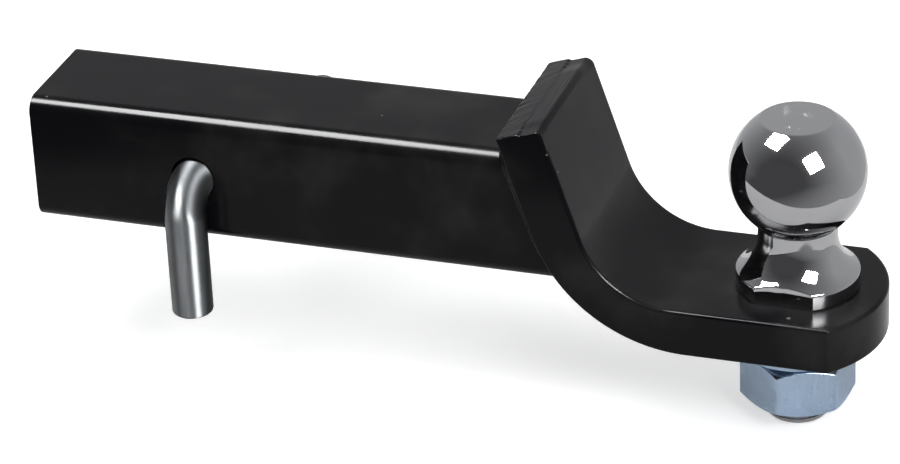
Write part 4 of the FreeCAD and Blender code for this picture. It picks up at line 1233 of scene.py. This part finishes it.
def make_floor_finish(rgb):
    """A white floor that keeps the shadow. Metal mirrors it as a disc with the dim studio round it."""
    finish = bpy.data.materials.new("white_disc")
    n = empty_nodes(finish)
    path = n.add("LightPath").outputs
    mirrored = n.most(path["Is Glossy Ray"], path["Is Transmission Ray"])
    place = n.place()
    part = n.split(place)
    away = n.apart(place, (*DISC_CENTRE, CAD_BOX[0][2]))
    wave = n.times(n.less(n.noise(place, 9, 1.0), 0.5), 0.012)
    aside = n.plus(n.math("MULTIPLY_ADD", part["Y"], 0.30, part["X"]), wave)
    disc = n.times(
        n.span(n.plus(away, wave), DISC_RADIUS - DISC_BLUR, DISC_RADIUS + DISC_BLUR, 1.0, 0.0),
        n.span(aside, DISC_CUT - DISC_BLUR, DISC_CUT + DISC_BLUR, 1.0, 0.0))
    cloud = n.span(n.noise(place, 14, 3.0), 0.3, 0.7, 0.0, 0.03)
    tone = n.blend(cloud, opaque(rgb), (0.7, 0.7, 0.7, 1))
    matt = n.add("BsdfDiffuse", inputs={"Color": tone, "Roughness": 0.6})
    glow = n.plus(n.times(path["Is Camera Ray"], 0.6), n.times(mirrored, 0.15))
    light = n.add("Emission", inputs={"Color": WHITE, "Strength": glow})
    white = n.add("AddShader", inputs={0: matt.outputs[0], 1: light.outputs[0]})
    way = n.add("VectorMath", operation="NORMALIZE", inputs={0: place}).outputs[0]
    dim = n.add("Emission", inputs={"Color": STUDIO_TINT, "Strength": studio_level(n, way)})
    beyond = n.times(mirrored, n.less(1.0, disc))
    both = n.add("MixShader", inputs={0: beyond, 1: white.outputs[0], 2: dim.outputs[0]})
    n.add("OutputMaterial", inputs={"Surface": both.outputs[0]})
    return finish


def make_room():
    """A studio with a dim front and paler walls behind and at the sides, white to the camera."""
    world = bpy.data.worlds.new("studio")
    bpy.context.scene.world = world
    n = empty_nodes(world)
    seen = n.add("LightPath").outputs["Is Camera Ray"]
    level = n.most(studio_level(n, n.add("TexCoord").outputs["Generated"]), seen)
    tone = n.blend(seen, STUDIO_TINT, WHITE)
    back = n.add("Background", inputs={"Color": tone, "Strength": level})
    n.add("OutputWorld", inputs={"Surface": back.outputs[0]})


def add_softbox(name, target, way, edge, distance, width, power, shows):
    """A square lamp that either lights the pieces or shows as a white square in their gloss."""
    deselect()
    away = Vector(way).normalized()
    side = (Vector(edge) - away * away.dot(Vector(edge))).normalized()
    facing = Matrix((side, away.cross(side), away)).transposed()
    bpy.ops.object.light_add(type="AREA", location=target + away * distance,
                             rotation=facing.to_euler())
    lamp = bpy.context.object
    lamp.name = name
    lamp.data.shape = "SQUARE"
    lamp.data.size = width
    lamp.data.energy = power
    lamp.visible_camera = False
    lamp.visible_glossy = shows
    lamp.visible_diffuse = not shows


class BALLMOUNT_OT_stage(bpy.types.Operator):
    """Set up the floor, the softboxes, the room and the camera"""
    bl_idname = "ball_mount.stage"
    bl_label = "Stage"

    def execute(self, context):
        sizes = context.scene.ball_mount
        deselect()
        bpy.ops.mesh.primitive_circle_add(vertices=96, radius=FLOOR_RADIUS, fill_type="NGON",
                                          location=(0.1, 0, CAD_BOX[0][2] - FLOOR_GAP))
        floor = new_piece()
        floor.name = "floor"
        floor.data.materials.append(make_floor_finish(sizes.finish.floor))
        make_room()
        ball = Vector((sizes.ball.x, 0, 0.02))
        for name, way, edge, light, glare in SOFTBOXES:
            add_softbox(name, ball, way, edge, *LIGHT, light, False)
            add_softbox(name + "_glare", ball, way, edge, *GLARE, glare, True)
        azimuth, elevation, roll = (math.radians(degrees) for degrees in CAMERA_DEGREES)
        back = Vector((math.sin(azimuth) * math.cos(elevation),
                       -math.cos(azimuth) * math.cos(elevation), math.sin(elevation)))
        right = Vector((math.cos(azimuth), math.sin(azimuth), 0))
        up = back.cross(right)
        tilted_right = right * math.cos(roll) + up * math.sin(roll)
        tilted_up = up * math.cos(roll) - right * math.sin(roll)
        facing = Matrix((tilted_right, tilted_up, back)).transposed()
        deselect()
        bpy.ops.object.camera_add(location=CAMERA_PLACE, rotation=facing.to_euler())
        camera = context.object
        camera.data.sensor_width = SENSOR
        camera.data.lens = FOCAL_PIXELS * SENSOR / PICTURE_PIXELS
        context.scene.camera = camera
        context.scene.view_settings.view_transform = "Standard"
        return {"FINISHED"}


class BALLMOUNT_PT_sidebar(bpy.types.Panel):
    """Lists the pieces and the sizes that may be changed"""
    bl_idname = "BALLMOUNT_PT_sidebar"
    bl_label = "Ball Mount"
    bl_space_type = "VIEW_3D"
    bl_region_type = "UI"
    bl_category = "Ball Mount"

    def draw(self, context):
        for operator in OPERATORS:
            self.layout.operator(operator.bl_idname)
        for part in ("shank", "plate", "weld", "ball", "fixing", "pin", "finish"):
            settings = getattr(context.scene.ball_mount, part)
            box = self.layout.box()
            box.label(text=part.title())
            for key in settings.__annotations__:
                box.prop(settings, key)


OPERATORS = (BALLMOUNT_OT_shank, BALLMOUNT_OT_plate, BALLMOUNT_OT_weld, BALLMOUNT_OT_ball,
             BALLMOUNT_OT_fixings, BALLMOUNT_OT_pin, BALLMOUNT_OT_clip, BALLMOUNT_OT_stage)
CLASSES = (ShankSizes, PlateSizes, WeldSizes, BallSizes, FixingSizes, PinSizes, Finishes,
           BallMountSettings, *OPERATORS, BALLMOUNT_PT_sidebar)


def register():
    for item in CLASSES:
        bpy.utils.register_class(item)
    bpy.types.Scene.ball_mount = PointerProperty(type=BallMountSettings)


def unregister():
    del bpy.types.Scene.ball_mount
    for item in reversed(CLASSES):
        bpy.utils.unregister_class(item)


def main():
    register()
    bpy.ops.ball_mount.shank()
    bpy.ops.ball_mount.plate()
    bpy.ops.ball_mount.weld()
    bpy.ops.ball_mount.ball()
    bpy.ops.ball_mount.fixings()
    bpy.ops.ball_mount.pin()
    bpy.ops.ball_mount.clip()
    bpy.ops.ball_mount.stage()


if __name__ == "__main__":
    main()
